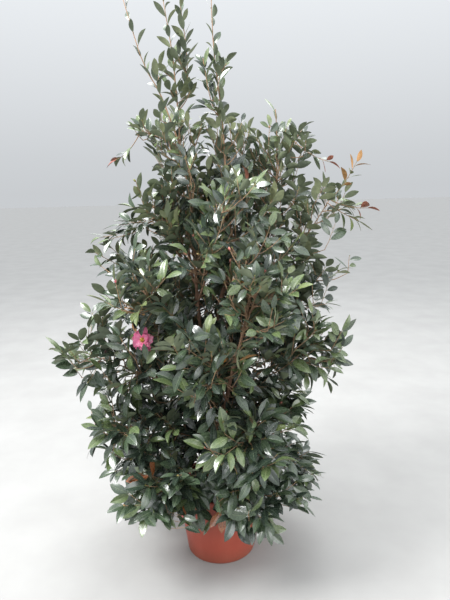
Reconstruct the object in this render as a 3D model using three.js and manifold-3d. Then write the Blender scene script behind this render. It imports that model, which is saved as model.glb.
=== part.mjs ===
// A camellia shrub about 2.25 m tall in its terracotta-coloured plastic pot.
// Millimetres, +Z up. The origin is the middle of the pot's flat underside.
// Seen from the front one looks along +Y, with +X to the right.
import * as THREE from "three";
import { mergeVertices } from "three/addons/utils/BufferGeometryUtils.js";
import Module from "manifold-3d";

const wasm = await Module();
wasm.setup();

// Driving dimensions
const GAP = 0.3;
const JOINT_GAP = 0.4;
const POT = {
  height: 300, footRadius: 142, rimRadius: 185, wall: 3.2, chamfer: 4, lipHeight: 14, lipOut: 6, lipEdge: 2,
  sides: 36,
};
const SOIL_BELOW_RIM = 28;
const SOIL_TOP = POT.height - SOIL_BELOW_RIM;
const TRUNK = { radius: 13.5, topRadius: 5, flareRadius: 12, flareHeight: 45, sides: 8, steps: 13 };
const STEM = { radius: 9, topRadius: 4.5, sides: 6, steps: 7 };
const BOUGH = { radius: 4.8, endRadius: 3.4, sides: 5, steps: 3, share: 0.36, sway: 25 };
const SHOOT = { tipRadius: 2.7, sides: 4, steps: 3, leaderSteps: 6 };
const TWIG = {
  radius: 1.8, tipRadius: 1.7, sides: 3, angle: 62, closing: 12, lift: 0.35,
  steps: 2, least: 40, shorten: 0.8, shortest: 0.8, spread: 0.4, lastShare: 0.95,
};
const LEAF = {
  length: 150, width: 78, keel: 5, arch: 5, widest: 0.45, angle: 48, flatten: 0.6, outward: 0.9, tilt: 1.2,
  smallest: 0.88, spread: 0.24, inset: 0.03, endShare: 0.985,
};
const LEAST_EDGE = 0.02;
const LEAST_WIDTH = 0.001;
const LIMB_CLEARANCE = 1.2;
const SPACE_MARGIN = 5;
const RIM_ROOM = 12;
const GOLDEN_ANGLE = THREE.MathUtils.degToRad(137.5);

// The trunk runs up under the middle leader.
const TRUNK_POINTS = [
  [-4, 0, SOIL_TOP + GAP], [-20, 0, 380], [-16, 6, 560], [0, 12, 780], [13, 10, 1020], [62, 4, 1190],
  [78, 0, 1310],
];
// The other stems leave it at a height and run through their points.
const STEMS = [
  { name: "stem_left", leaves: 520, points: [[-42, -18, 760], [-65, -38, 1067], [-75, -45, 1342]] },
  { name: "stem_right", leaves: 600, points: [[75, 30, 840], [150, 48, 1090], [210, 50, 1300]] },
  { name: "stem_front", leaves: 480, points: [[30, -75, 660], [56, -120, 800], [88, -170, 940]] },
  { name: "stem_back", leaves: 640, points: [[-50, 90, 900], [-95, 140, 1200], [-110, 135, 1440]] },
  { name: "stem_rear_right", leaves: 700, points: [[50, 90, 900], [105, 155, 1120], [125, 185, 1280]] },
];

// Each tier of boughs has the height of its tips, its reach to each side, the height where it leaves
// its stem, the direction of its first bough in degrees, and the share of its rise that it has halfway.
const TIERS = [
  {
    name: "low", tip: 345, leave: 405, left: 525, right: 425, front: 400, back: 440,
    count: 5, first: 150, halfway: -0.6,
  },
  {
    name: "lower", tip: 650, leave: 510, left: 530, right: 355, front: 430, back: 460,
    count: 4, first: 200, halfway: 0.7,
  },
  {
    name: "middle", tip: 950, leave: 690, left: 630, right: 500, front: 460, back: 500,
    count: 5, first: 198, halfway: 0.55,
  },
  {
    name: "shoulder", tip: 1185, leave: 880, left: 430, right: 530, front: 430, back: 470,
    count: 5, first: 150, halfway: 0.35,
  },
  {
    name: "upper", tip: 1480, leave: 1110, left: 300, right: 570, front: 330, back: 400,
    count: 4, first: 8, halfway: 0.3,
  },
];
const LEAVE_STAGGER = 38;
const LEAVE_ROOM = 20;
const TIP_STAGGER = 30;
const MASS = { twigs: 5, shootLeaves: 6, spread: 200, taper: 0.3, leafSize: 1.1, leafTaper: 0.15 };
const LEAVES_PER_TWIG = 3;
const TWIGS_PER_SIDE_SHOOT = 1;
const LEAF_ALLOWANCE = 95;
const LEAF_TURNS = [0, 0.7, -0.7, 1.6, -1.6];
const TWIG_SHIFTS = [0, 0.02, -0.03];
const SEEDS = { branch: 101, tierStep: 17, branchStep: 5, leader: 901, leaderStep: 13, massOffset: 500 };

// Nothing hangs lower than this. In front of the pot and to its left, that height rises with the distance.
const HANG = { lowest: 185, frontRise: 0.3, opensAt: 60, tipRoom: 70 };

// Leaders run out of the top of the crown, each with its side shoots.
const LEADERS = [
  {
    name: "leaves_top_middle", stem: "trunk",
    twigs: 8, shootLeaves: 15, spread: 200, taper: 1.1, leafSize: 1, leafTaper: 0.5,
    points: [[55, 0, 1459], [53, 0, 1697], [39, 0, 1841], [24, 0, 1980], [19, 0, 2185]],
    side: [[[12, -15, 1800], [-16, -20, 1960]]],
  },
  {
    name: "leaves_top_left", stem: "stem_left",
    twigs: 8, shootLeaves: 13, spread: 190, taper: 1.1, leafSize: 1, leafTaper: 0.5,
    points: [
      [-83, -40, 1587], [-116, -40, 1679], [-142, -40, 1755], [-175, -40, 1845], [-230, -40, 1950],
      [-288, -40, 2160],
    ],
    side: [[[-205, -30, 1700], [-255, -15, 1710]]],
  },
  {
    name: "leaves_top_right", stem: "stem_right",
    twigs: 7, shootLeaves: 8, spread: 160, taper: 0.7, leafSize: 0.95, leafTaper: 0.5,
    points: [[237, 40, 1458], [253, 40, 1535], [254, 40, 1700], [250, 40, 1790]],
    side: [[[300, 40, 1640], [355, 40, 1720]]],
  },
  {
    name: "leaves_top_back", stem: "stem_back",
    twigs: 7, shootLeaves: 13, spread: 180, taper: 1.1, leafSize: 0.95, leafTaper: 0.5,
    points: [[-115, 110, 1700], [-126, 100, 1915], [-133, 100, 2015], [-160, 100, 2205]],
    side: [[[-85, 115, 1870], [-79, 120, 2019], [-96, 120, 2180]]],
  },
  {
    name: "leaves_front", stem: "stem_front",
    twigs: 7, shootLeaves: 6, spread: 190, taper: 0.4, leafSize: 1, leafTaper: 0.2,
    points: [[118, -215, 1080], [127, -232, 1140], [112, -250, 1260]],
    side: [],
  },
  {
    name: "leaves_rear_right", stem: "stem_rear_right",
    twigs: 6, shootLeaves: 6, spread: 190, taper: 0.4, leafSize: 1, leafTaper: 0.2,
    points: [[135, 215, 1450], [120, 220, 1600]],
    side: [],
  },
];
const LEADER_FORKS = [45, 52, 60, 70];
const BLOOM = {
  mass: "leaves_middle_1", at: [-265, -160, 965], facing: [-0.3, -0.9, 0.15],
  petals: 5, radius: 46, width: 42, cup: 0.45, heart: [5, 4], heartDepth: [-6, 8],
};

const COLOURS = { pot: 0xc6563f, soil: 0x3a2c22, bark: 0x8a6455, leaf: 0x3f5c34, leader: 0x4c6a38 };
const ROUGHNESS = { pot: 0.45, soil: 0.95, bark: 0.8, leaf: 0.4 };

// Seeded draws, one stream for each limb or mass
function stream(seed) {
  let state = seed;
  return () => {
    state = (state * 48271) % 2147483647;
    return state / 2147483647;
  };
}

const UP = new THREE.Vector3(0, 0, 1);
const vector = ([x, y, z]) => new THREE.Vector3(x, y, z);
const blend = (a, b, t) => a.clone().lerp(b, t);
const along = (start, direction, distance) => start.clone().addScaledVector(direction, distance);

// A direction square to another one, level where it can be
function sideways(direction) {
  const reference = Math.abs(direction.z) > 0.9 ? new THREE.Vector3(1, 0, 0) : UP;
  return new THREE.Vector3().crossVectors(direction, reference).normalize();
}

function around(direction, angle) {
  const side = sideways(direction);
  const other = new THREE.Vector3().crossVectors(side, direction);
  return side.multiplyScalar(Math.cos(angle)).addScaledVector(other, Math.sin(angle));
}

// The direction at an angle in degrees from one direction towards another that is square to it
function between(direction, towards, angle) {
  const turn = THREE.MathUtils.degToRad(angle);
  const turned = direction.clone().multiplyScalar(Math.cos(turn));
  return turned.addScaledVector(towards, Math.sin(turn)).normalize();
}

// Solids from vertices and triangles
function solidOf(vertices, triangles) {
  const vertProperties = new Float32Array(vertices.flatMap((p) => [p.x, p.y, p.z]));
  const triVerts = new Uint32Array(triangles.flat());
  return new wasm.Manifold(new wasm.Mesh({ numProp: 3, vertProperties, triVerts }));
}

function solidOfGeometry(geometry) {
  geometry.deleteAttribute("normal");
  geometry.deleteAttribute("uv");
  const merged = mergeVertices(geometry, 1e-3);
  const places = merged.attributes.position;
  const vertices = Array.from({ length: places.count }, (_, i) => (
    new THREE.Vector3().fromBufferAttribute(places, i)
  ));
  const corners = merged.index.array;
  const triangles = [];
  for (let i = 0; i < corners.length; i += 3) {
    triangles.push([corners[i], corners[i + 1], corners[i + 2]]);
  }
  return solidOf(vertices, triangles);
}

// A closed tube with flat ends along a path, its ring kept from twisting
function tube(limb, sides, grow = 0) {
  const { path, radii, startDirection, endDirection } = limb;
  const last = path.length - 1;
  const vertices = [];
  let across = null;
  path.forEach((point, i) => {
    const tangent = path[Math.min(i + 1, last)].clone().sub(path[Math.max(i - 1, 0)]).normalize();
    if (i === 0 && startDirection) {
      tangent.copy(startDirection);
    }
    if (i === last && endDirection) {
      tangent.copy(endDirection);
    }
    across = across ?? sideways(tangent);
    across.addScaledVector(tangent, -across.dot(tangent)).normalize();
    const over = new THREE.Vector3().crossVectors(tangent, across);
    for (let k = 0; k < sides; k += 1) {
      const angle = (2 * Math.PI * k) / sides;
      const spoke = across.clone().multiplyScalar(Math.cos(angle)).addScaledVector(over, Math.sin(angle));
      vertices.push(along(point, spoke, radii[i] + grow));
    }
  });
  const triangles = [];
  for (let i = 0; i < last; i += 1) {
    for (let k = 0; k < sides; k += 1) {
      const a = i * sides + k;
      const b = i * sides + ((k + 1) % sides);
      triangles.push([a, b, b + sides], [a, b + sides, a + sides]);
    }
  }
  for (let k = 1; k < sides - 1; k += 1) {
    triangles.push([0, k + 1, k], [last * sides, last * sides + k, last * sides + k + 1]);
  }
  return solidOf(vertices, triangles);
}

function taper(count, from, to) {
  return Array.from({ length: count }, (_, i) => from + ((to - from) * i) / (count - 1));
}

function nearestOnPath(point, path) {
  const line = new THREE.Line3();
  const found = new THREE.Vector3();
  let least = Infinity;
  for (let i = 0; i + 1 < path.length; i += 1) {
    line.set(path[i], path[i + 1]).closestPointToPoint(point, true, found);
    least = Math.min(least, found.distanceTo(point));
  }
  return least;
}

// Shortest way between a piece of a limb and a triangle of a leaf
function segmentToTriangle(start, end, triangle) {
  const direction = new THREE.Vector3().subVectors(end, start);
  const length = direction.length();
  const met = new THREE.Ray(start, direction.divideScalar(length)).intersectTriangle(
    triangle.a, triangle.b, triangle.c, false, new THREE.Vector3(),
  );
  if (met && met.distanceTo(start) <= length) {
    return 0;
  }
  const limb = new THREE.Line3(start, end);
  const found = new THREE.Vector3();
  let least = Math.min(
    triangle.closestPointToPoint(start, found).distanceTo(start),
    triangle.closestPointToPoint(end, found).distanceTo(end),
  );
  for (const [p, q] of [[triangle.a, triangle.b], [triangle.b, triangle.c], [triangle.c, triangle.a]]) {
    least = Math.min(least, Math.sqrt(limb.distanceSqToLine3(new THREE.Line3(p, q))));
  }
  return least;
}

// Limbs
function pointAtHeight(limb, height) {
  const { path } = limb;
  const i = Math.max(0, path.findIndex((p, k) => k + 1 < path.length && path[k + 1].z >= height));
  const t = THREE.MathUtils.clamp((height - path[i].z) / (path[i + 1].z - path[i].z), 0, 1);
  return blend(path[i], path[i + 1], t);
}

function smoothPath(points, steps) {
  return new THREE.CatmullRomCurve3(points, false, "catmullrom", 0.5).getPoints(steps);
}

function trunkLimb() {
  const path = smoothPath(TRUNK_POINTS.map(vector), TRUNK.steps);
  const radii = path.map((p, i) => {
    const flare = TRUNK.flareRadius * Math.exp(-(p.z - SOIL_TOP) / TRUNK.flareHeight);
    return THREE.MathUtils.lerp(TRUNK.radius, TRUNK.topRadius, i / TRUNK.steps) + flare;
  });
  return { name: "trunk", path, radii, sides: TRUNK.sides, parent: null, startDirection: UP.clone() };
}

function stemLimb({ name, leaves, points }, trunk) {
  const foot = pointAtHeight(trunk, leaves);
  const path = smoothPath([foot, ...points.map(vector)], STEM.steps);
  const radii = taper(path.length, STEM.radius, STEM.topRadius);
  return { name, path, radii, sides: STEM.sides, parent: trunk };
}

// The crown's reach from the middle, as an ellipse with its own radius on each side
function reachAt(tier, azimuth) {
  const across = Math.cos(azimuth) / (Math.cos(azimuth) > 0 ? tier.right : tier.left);
  const deep = Math.sin(azimuth) / (Math.sin(azimuth) > 0 ? tier.back : tier.front);
  return 1 / Math.hypot(across, deep);
}

function hangHeight({ x, y }) {
  return HANG.lowest + (x < HANG.opensAt ? HANG.frontRise * Math.max(0, -y) : 0);
}

// A branch is one curve: its first share is the bough, and the rest is the stem inside its mass of leaves
function branch(tier, number, carriers, seed) {
  const draw = stream(seed);
  const azimuth = THREE.MathUtils.degToRad(tier.first) + (2 * Math.PI * number) / tier.count;
  const reach = reachAt(tier, azimuth) - LEAF_ALLOWANCE;
  const stagger = (number % 3) - 1;
  const height = tier.tip + (draw() - 0.5) * 2 * TIP_STAGGER;
  const tip = new THREE.Vector3(reach * Math.cos(azimuth), reach * Math.sin(azimuth), height);
  tip.z = Math.max(tip.z, hangHeight(tip) + HANG.tipRoom);
  const leave = tier.leave + stagger * LEAVE_STAGGER;
  const reachable = carriers.filter(({ path }) => (
    path[0].z < leave - LEAVE_ROOM && path.at(-1).z > leave + LEAVE_ROOM
  ));
  const feet = reachable.map((carrier) => ({ carrier, foot: pointAtHeight(carrier, leave) }));
  feet.sort((a, b) => a.foot.distanceTo(tip) - b.foot.distanceTo(tip));
  const { carrier, foot } = feet[0];
  const across = sideways(tip.clone().sub(foot).normalize());
  const middle = along(blend(foot, tip, 0.5), across, (draw() - 0.5) * 2 * BOUGH.sway);
  middle.z = THREE.MathUtils.lerp(foot.z, tip.z, tier.halfway);
  const curve = new THREE.QuadraticBezierCurve3(foot, middle, tip);
  const split = BOUGH.share;
  const direction = curve.getTangent(split);
  const boughPath = taper(BOUGH.steps + 1, 0, split).map((t) => curve.getPoint(t));
  const shootPath = taper(SHOOT.steps + 1, split, 1).map((t) => curve.getPoint(t));
  shootPath[0].addScaledVector(direction, GAP);
  const label = `${tier.name}_${number + 1}`;
  const radii = taper(BOUGH.steps + 1, BOUGH.radius, BOUGH.endRadius);
  const bough = {
    name: `bough_${label}`, path: boughPath, radii, sides: BOUGH.sides,
    parent: carrier, endDirection: direction,
  };
  const shootRadii = taper(SHOOT.steps + 1, BOUGH.endRadius, SHOOT.tipRadius);
  const mass = {
    ...MASS, name: `leaves_${label}`, seed: seed + SEEDS.massOffset, colour: COLOURS.leaf,
    shoots: [{ path: shootPath, radii: shootRadii, startDirection: direction }],
  };
  return { bough, mass };
}

// A leader goes on from its stem's tip. Its side shoots leave it lower down.
function leaderMass(leader, limbs, seed) {
  const stem = limbs.find(({ name }) => name === leader.stem);
  const top = stem.path.at(-1);
  const direction = new THREE.Vector3().subVectors(top, stem.path.at(-2)).normalize();
  stem.endDirection = direction;
  const start = along(top, direction, GAP);
  const path = smoothPath([start, ...leader.points.map(vector)], SHOOT.leaderSteps);
  const radii = taper(path.length, stem.radii.at(-1), SHOOT.tipRadius);
  const main = { path, radii, startDirection: direction };
  const side = leader.side.map((points) => {
    const tries = LEADER_FORKS.map((fork) => {
      const foot = pointAtHeight(main, points[0][2] - fork);
      const sidePath = smoothPath([foot, ...points.map(vector)], SHOOT.steps);
      return { path: sidePath, radii: taper(sidePath.length, TWIG.radius, TWIG.tipRadius) };
    });
    return tries.find((shoot) => joined(tube(main, SHOOT.sides), tube(shoot, TWIG.sides)));
  });
  return { ...leader, seed, colour: COLOURS.leader, shoots: [main, ...side] };
}

// A leaf is a kite with a keel under its widest line. Its root ends inside its twig.
function leafPoints(root, direction, normal, size) {
  const across = new THREE.Vector3().crossVectors(normal, direction).normalize();
  const face = new THREE.Vector3().crossVectors(direction, across).normalize();
  const middle = along(along(root, direction, LEAF.length * size * LEAF.widest), face, LEAF.arch * size);
  const halfWidth = (LEAF.width * size) / 2;
  return {
    root,
    tip: along(root, direction, LEAF.length * size),
    left: along(middle, across, halfWidth),
    right: along(middle, across, -halfWidth),
    keel: along(middle, face, -LEAF.keel),
  };
}

function leafSolid({ root, tip, left, right, keel }) {
  const triangles = [[0, 3, 2], [0, 4, 3], [0, 2, 4], [1, 2, 3], [1, 3, 4], [1, 4, 2]];
  return solidOf([root, tip, left, right, keel], triangles);
}

function halvesOf({ root, tip, left, right }) {
  return [new THREE.Triangle(root, left, right), new THREE.Triangle(left, tip, right)];
}

function crosses(leaf, other) {
  const pierced = (a, b) => halvesOf(a).some((half) => (
    [[b.root, b.left], [b.left, b.tip], [b.tip, b.right], [b.right, b.root], [b.root, b.tip]].some(
      ([start, end]) => segmentToTriangle(start, end, half) < LEAF.keel / 2,
    )
  ));
  return pierced(leaf, other);
}

// The way a leaf points, spread flat on level twigs, and its face, which looks up and out of the crown
function leafStance(root, tangent, azimuth, tilt) {
  const radial = around(tangent, azimuth);
  radial.z *= LEAF.flatten;
  radial.normalize();
  const direction = between(tangent, radial, LEAF.angle);
  const outward = new THREE.Vector3(root.x, root.y, 0).normalize();
  const normal = outward.multiplyScalar(LEAF.outward).add(UP).addScaledVector(sideways(direction), tilt);
  normal.addScaledVector(direction, -normal.dot(direction)).normalize();
  return { direction, normal };
}

// A mass keeps to the space that is nearer to its own shoots than to those of any other mass
function ownSpace(point, mass, masses) {
  const own = Math.min(...mass.shoots.map(({ path }) => nearestOnPath(point, path)));
  return masses.every((other) => {
    if (other === mass) {
      return true;
    }
    return other.shoots.every(({ path }) => nearestOnPath(point, path) > own + SPACE_MARGIN);
  });
}

function clearOfLimbs(triangle, limbs) {
  return limbs.every(({ path, radii }) => {
    for (let i = 0; i + 1 < path.length; i += 1) {
      const room = Math.max(radii[i], radii[i + 1]) + LIMB_CLEARANCE + LEAF.keel / 2;
      if (segmentToTriangle(path[i], path[i + 1], triangle) < room) {
        return false;
      }
    }
    return true;
  });
}

function abovePot(point) {
  const overPot = Math.hypot(point.x, point.y) < POT.rimRadius + RIM_ROOM;
  return point.z > (overPot ? POT.height + RIM_ROOM : hangHeight(point));
}

function leafFits(leaf, mass, masses, limbs) {
  const { root, tip, left, right } = leaf;
  const middle = blend(left, right, 0.5);
  const edges = [[tip, left], [tip, right], [root, left], [root, right]].map(([p, q]) => blend(p, q, 0.5));
  const places = [tip, left, right, middle, ...edges];
  return places.every((p) => abovePot(p) && ownSpace(p, mass, masses))
    && halvesOf(leaf).every((half) => clearOfLimbs(half, limbs));
}

function twigFits(path, mass, masses, limbs) {
  const places = path.slice(1).flatMap((p, i) => [blend(path[i], p, 0.5), p]);
  if (!places.every((p) => abovePot(p) && ownSpace(p, mass, masses))) {
    return false;
  }
  return limbs.every((limb) => limb.path.slice(1).every((end, i) => {
    const piece = new THREE.Line3(limb.path[i], end);
    return path.slice(1).every((p, k) => {
      const room = limb.radii[i] + TWIG.radius + LIMB_CLEARANCE;
      return Math.sqrt(piece.distanceSqToLine3(new THREE.Line3(path[k], p))) > room;
    });
  }));
}

function pointOnPath(path, share) {
  const place = share * (path.length - 1);
  const i = Math.min(Math.floor(place), path.length - 2);
  return {
    point: blend(path[i], path[i + 1], place - i),
    tangent: new THREE.Vector3().subVectors(path[i + 1], path[i]).normalize(),
  };
}

function twigPath(foot, direction, length) {
  const half = length / TWIG.steps;
  const path = [foot.clone()];
  const heading = direction.clone();
  for (let i = 0; i < TWIG.steps; i += 1) {
    path.push(along(path.at(-1), heading, half));
    heading.addScaledVector(UP, TWIG.lift).normalize();
  }
  return path;
}

// A bloom of petals that stand out round the way it faces
function bloomSolid(at, facing) {
  const heart = BLOOM.heartDepth.map((depth) => along(at, facing, depth));
  let solid = tube({ path: heart, radii: BLOOM.heart }, BLOOM.petals);
  const size = BLOOM.radius / LEAF.length;
  for (let i = 0; i < BLOOM.petals; i += 1) {
    const out = around(facing, (2 * Math.PI * i) / BLOOM.petals);
    const direction = out.clone().addScaledVector(facing, BLOOM.cup).normalize();
    const normal = facing.clone().addScaledVector(out, -BLOOM.cup).normalize();
    const petal = leafPoints(at, direction, normal, size);
    const middle = blend(petal.left, petal.right, 0.5);
    const wider = BLOOM.width / (LEAF.width * size);
    petal.left.sub(middle).multiplyScalar(wider).add(middle);
    petal.right.sub(middle).multiplyScalar(wider).add(middle);
    solid = solid.add(leafSolid(petal));
  }
  return solid;
}

// A piece is joined unless that would leave an edge too short to keep or a sliver too thin
function joined(whole, piece) {
  const result = whole.add(piece);
  const { vertProperties, triVerts, numProp } = result.getMesh();
  const corner = (i) => new THREE.Vector3().fromArray(vertProperties, triVerts[i] * numProp);
  for (let i = 0; i < triVerts.length; i += 3) {
    const triangle = new THREE.Triangle(corner(i), corner(i + 1), corner(i + 2));
    const { a, b, c } = triangle;
    const edges = [a.distanceTo(b), b.distanceTo(c), c.distanceTo(a)];
    if (Math.min(...edges) < LEAST_EDGE || (2 * triangle.getArea()) / Math.max(...edges) < LEAST_WIDTH) {
      return null;
    }
  }
  return result;
}

// A twig leaves its shoot at a share of the shoot's length, and is shortened until it keeps to its space
function growTwig(shoot, share, azimuth, length, mass, masses, limbs) {
  const { point, tangent } = pointOnPath(shoot.path, share);
  const heading = between(tangent, around(tangent, azimuth), TWIG.angle - TWIG.closing * share);
  for (let tried = length; tried > TWIG.least; tried *= TWIG.shorten) {
    const path = twigPath(point, heading, tried);
    if (twigFits(path, mass, masses, limbs)) {
      const radii = taper(path.length, TWIG.radius, TWIG.tipRadius);
      return { path, radii, sides: TWIG.sides, azimuth, share };
    }
  }
  return null;
}

// One mass: twigs turn round its shoots by the golden angle, and leaves turn round each twig the same way
function massSolid(mass, masses, limbs) {
  const draw = stream(mass.seed);
  const shoots = mass.shoots.map((shoot, i) => ({ ...shoot, sides: i === 0 ? SHOOT.sides : TWIG.sides }));
  const twigs = [...shoots];
  const leaves = [];
  let solid = shoots.map((shoot) => tube(shoot, shoot.sides)).reduce((whole, piece) => whole.add(piece));
  shoots.forEach((shoot, number) => {
    const count = number === 0 ? mass.twigs : TWIGS_PER_SIDE_SHOOT;
    for (let i = 0; i < count; i += 1) {
      const share = Math.min((i + 0.5) / count, TWIG.lastShare);
      const length = mass.spread * (1 - mass.taper * share) * (TWIG.shortest + TWIG.spread * draw());
      const azimuth = i * GOLDEN_ANGLE + mass.seed;
      for (const shift of TWIG_SHIFTS) {
        const twig = growTwig(shoot, share + shift, azimuth, length, mass, masses, limbs);
        const whole = twig && joined(solid, tube(twig, twig.sides));
        if (whole) {
          solid = whole;
          twigs.push(twig);
          break;
        }
      }
    }
  });
  const addLeaf = (twig, share, azimuth) => {
    const { point, tangent } = pointOnPath(twig.path, share);
    const shrunk = mass.leafSize * (1 - mass.leafTaper * (twig.share ?? share));
    const size = shrunk * (LEAF.smallest + LEAF.spread * draw());
    const tilt = (draw() - 0.5) * LEAF.tilt;
    const others = twigs.filter((other) => other !== twig);
    for (const turn of LEAF_TURNS) {
      const { direction, normal } = leafStance(point, tangent, azimuth + turn, tilt);
      const leaf = leafPoints(point, direction, normal, size);
      const free = leafFits(leaf, mass, masses, limbs)
        && halvesOf(leaf).every((half) => clearOfLimbs(half, others))
        && !leaves.some((other) => crosses(leaf, other));
      const whole = free && joined(solid, leafSolid(leaf));
      if (whole) {
        solid = whole;
        leaves.push(leaf);
        return;
      }
    }
  };
  twigs.forEach((twig, number) => {
    const isShoot = number < shoots.length;
    const count = isShoot ? mass.shootLeaves : LEAVES_PER_TWIG;
    const azimuth = isShoot ? mass.seed : twig.azimuth;
    for (let k = count; k > 0; k -= 1) {
      addLeaf(twig, k / count - LEAF.inset, k * GOLDEN_ANGLE + azimuth);
    }
    if (isShoot) {
      addLeaf(twig, LEAF.endShare, azimuth + Math.PI);
    }
  });
  if (mass.name === BLOOM.mass) {
    const at = vector(BLOOM.at);
    const feet = [...mass.shoots[0].path].sort((a, b) => a.distanceTo(at) - b.distanceTo(at));
    solid = solid.add(tube({ path: [feet[0], at], radii: [TWIG.radius, TWIG.radius] }, TWIG.sides));
    solid = solid.add(bloomSolid(at, vector(BLOOM.facing).normalize()));
  }
  return largest(solid);
}

// The one body that counts: sealed hollows are filled and loose scraps dropped
function largest(solid) {
  const bodies = solid.decompose();
  return bodies.reduce((best, body) => (body.volume() > best.volume() ? body : best));
}

// Pot and soil
function latheSolid(profile, sides) {
  const geometry = new THREE.LatheGeometry(profile.map(([r, z]) => new THREE.Vector2(r, z)), sides);
  geometry.rotateX(Math.PI / 2);
  return solidOfGeometry(geometry);
}

function potRadius(height) {
  const outer = POT.rimRadius - POT.lipOut;
  return THREE.MathUtils.lerp(POT.footRadius, outer, height / POT.height);
}

function potSolid() {
  const { height, chamfer, wall, lipHeight, lipEdge, rimRadius } = POT;
  const underLip = height - lipHeight;
  return latheSolid([
    [0, 0], [potRadius(0) - chamfer, 0], [potRadius(chamfer), chamfer], [potRadius(underLip), underLip],
    [rimRadius, underLip + lipEdge], [rimRadius, height - lipEdge], [rimRadius - lipEdge, height],
    [potRadius(height) - wall, height], [potRadius(wall) - wall, wall], [0, wall],
  ], POT.sides);
}

function soilSolid() {
  const low = POT.wall + GAP;
  const radius = (height) => potRadius(height) - POT.wall - GAP;
  return latheSolid([[0, low], [radius(low), low], [radius(SOIL_TOP), SOIL_TOP], [0, SOIL_TOP]], POT.sides);
}

// The group of named meshes
const group = new THREE.Group();

function addMesh(name, solid, colour, roughness) {
  const { vertProperties, triVerts, numProp } = solid.getMesh();
  const geometry = new THREE.BufferGeometry();
  const places = new Float32Array((vertProperties.length / numProp) * 3);
  for (let i = 0; i * 3 < places.length; i += 1) {
    places.set(vertProperties.subarray(i * numProp, i * numProp + 3), i * 3);
  }
  geometry.setAttribute("position", new THREE.BufferAttribute(places, 3));
  geometry.setIndex(new THREE.BufferAttribute(new Uint32Array(triVerts), 1));
  geometry.computeVertexNormals();
  const material = new THREE.MeshStandardMaterial({ color: colour, roughness, metalness: 0 });
  const mesh = new THREE.Mesh(geometry, material);
  mesh.name = name;
  group.add(mesh);
}

addMesh("pot", potSolid(), COLOURS.pot, ROUGHNESS.pot);
addMesh("soil", soilSolid(), COLOURS.soil, ROUGHNESS.soil);

const trunk = trunkLimb();
const stems = STEMS.map((stem) => stemLimb(stem, trunk));
const carriers = [trunk, ...stems];
const branches = TIERS.flatMap((tier, t) => Array.from({ length: tier.count }, (_, number) => {
  const seed = SEEDS.branch + SEEDS.tierStep * t + SEEDS.branchStep * number;
  return branch(tier, number, carriers, seed);
}));
const leaders = LEADERS.map((leader, i) => leaderMass(leader, carriers, SEEDS.leader + SEEDS.leaderStep * i));
const limbs = [...carriers, ...branches.map(({ bough }) => bough)];
const masses = [...branches.map(({ mass }) => mass), ...leaders];

for (const limb of limbs) {
  const whole = tube(limb, limb.sides);
  const parent = limb.parent && tube(limb.parent, limb.parent.sides, JOINT_GAP);
  addMesh(limb.name, parent ? largest(whole.subtract(parent)) : whole, COLOURS.bark, ROUGHNESS.bark);
}
for (const mass of masses) {
  addMesh(mass.name, massSolid(mass, masses, limbs), mass.colour, ROUGHNESS.leaf);
}

export default group;
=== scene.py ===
# The looks of a camellia shrub about 2.25 m tall in its terracotta-coloured pot.
# The plant grows in millimetres by the rule of the part's source, with the same seeds, and goes on from
# there to finer twigs and to leaves of their true size. Meshes are written in metres.
import math
from types import SimpleNamespace as Values

import bpy
import numpy as np
from mathutils import Matrix, Vector


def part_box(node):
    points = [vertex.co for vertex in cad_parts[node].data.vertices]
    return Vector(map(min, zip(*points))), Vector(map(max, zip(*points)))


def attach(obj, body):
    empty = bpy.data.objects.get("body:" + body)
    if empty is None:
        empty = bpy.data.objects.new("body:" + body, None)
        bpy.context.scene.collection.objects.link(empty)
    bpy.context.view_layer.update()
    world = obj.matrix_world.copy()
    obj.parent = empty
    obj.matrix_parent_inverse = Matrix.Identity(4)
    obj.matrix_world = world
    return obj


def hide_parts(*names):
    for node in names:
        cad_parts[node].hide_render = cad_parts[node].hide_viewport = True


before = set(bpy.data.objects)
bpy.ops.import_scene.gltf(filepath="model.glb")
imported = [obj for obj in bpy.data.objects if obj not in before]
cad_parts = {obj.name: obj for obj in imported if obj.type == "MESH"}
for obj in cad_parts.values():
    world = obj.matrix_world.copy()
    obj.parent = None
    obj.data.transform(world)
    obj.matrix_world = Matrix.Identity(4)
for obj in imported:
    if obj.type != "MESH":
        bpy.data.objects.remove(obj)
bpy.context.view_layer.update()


def table(names, *rows):
    """Rows of values under the same names."""
    return [Values(**dict(zip(names.split(), row))) for row in rows]


# Sizes that the part's source has too
MM = 0.001
GAP = 0.3
POT = Values(height=300, foot=142, rim=185, wall=3.2, chamfer=4, lip_height=14, lip_out=6, off=12)
SOIL_TOP = 272
TRUNK = Values(radius=13.5, top=5, flare=12, flare_height=45, steps=13)
STEM = Values(radius=9, top=4.5, steps=7)
BOUGH = Values(radius=4.8, end=3.4, steps=3, share=0.36, sway=25)
SHOOT = Values(tip=2.7, steps=3, leader_steps=6)
TWIG = Values(
    radius=1.8, angle=62, closing=12, lift=0.35, steps=2, least=40, shorten=0.8, shortest=0.8, spread=0.4,
    last_share=0.95,
)
LEAF = Values(length=150, angle=48, flatten=0.6, outward=0.9, tilt=1.2, smallest=0.88, spread=0.24)
LIMB_CLEARANCE = 1.2
SPACE_MARGIN = 5
RIM_ROOM = 12
GOLDEN_ANGLE = math.radians(137.5)
TRUNK_POINTS = [
    (-4, 0, SOIL_TOP + GAP), (-20, 0, 380), (-16, 6, 560), (0, 12, 780), (13, 10, 1020), (62, 4, 1190),
    (78, 0, 1310),
]
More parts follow.
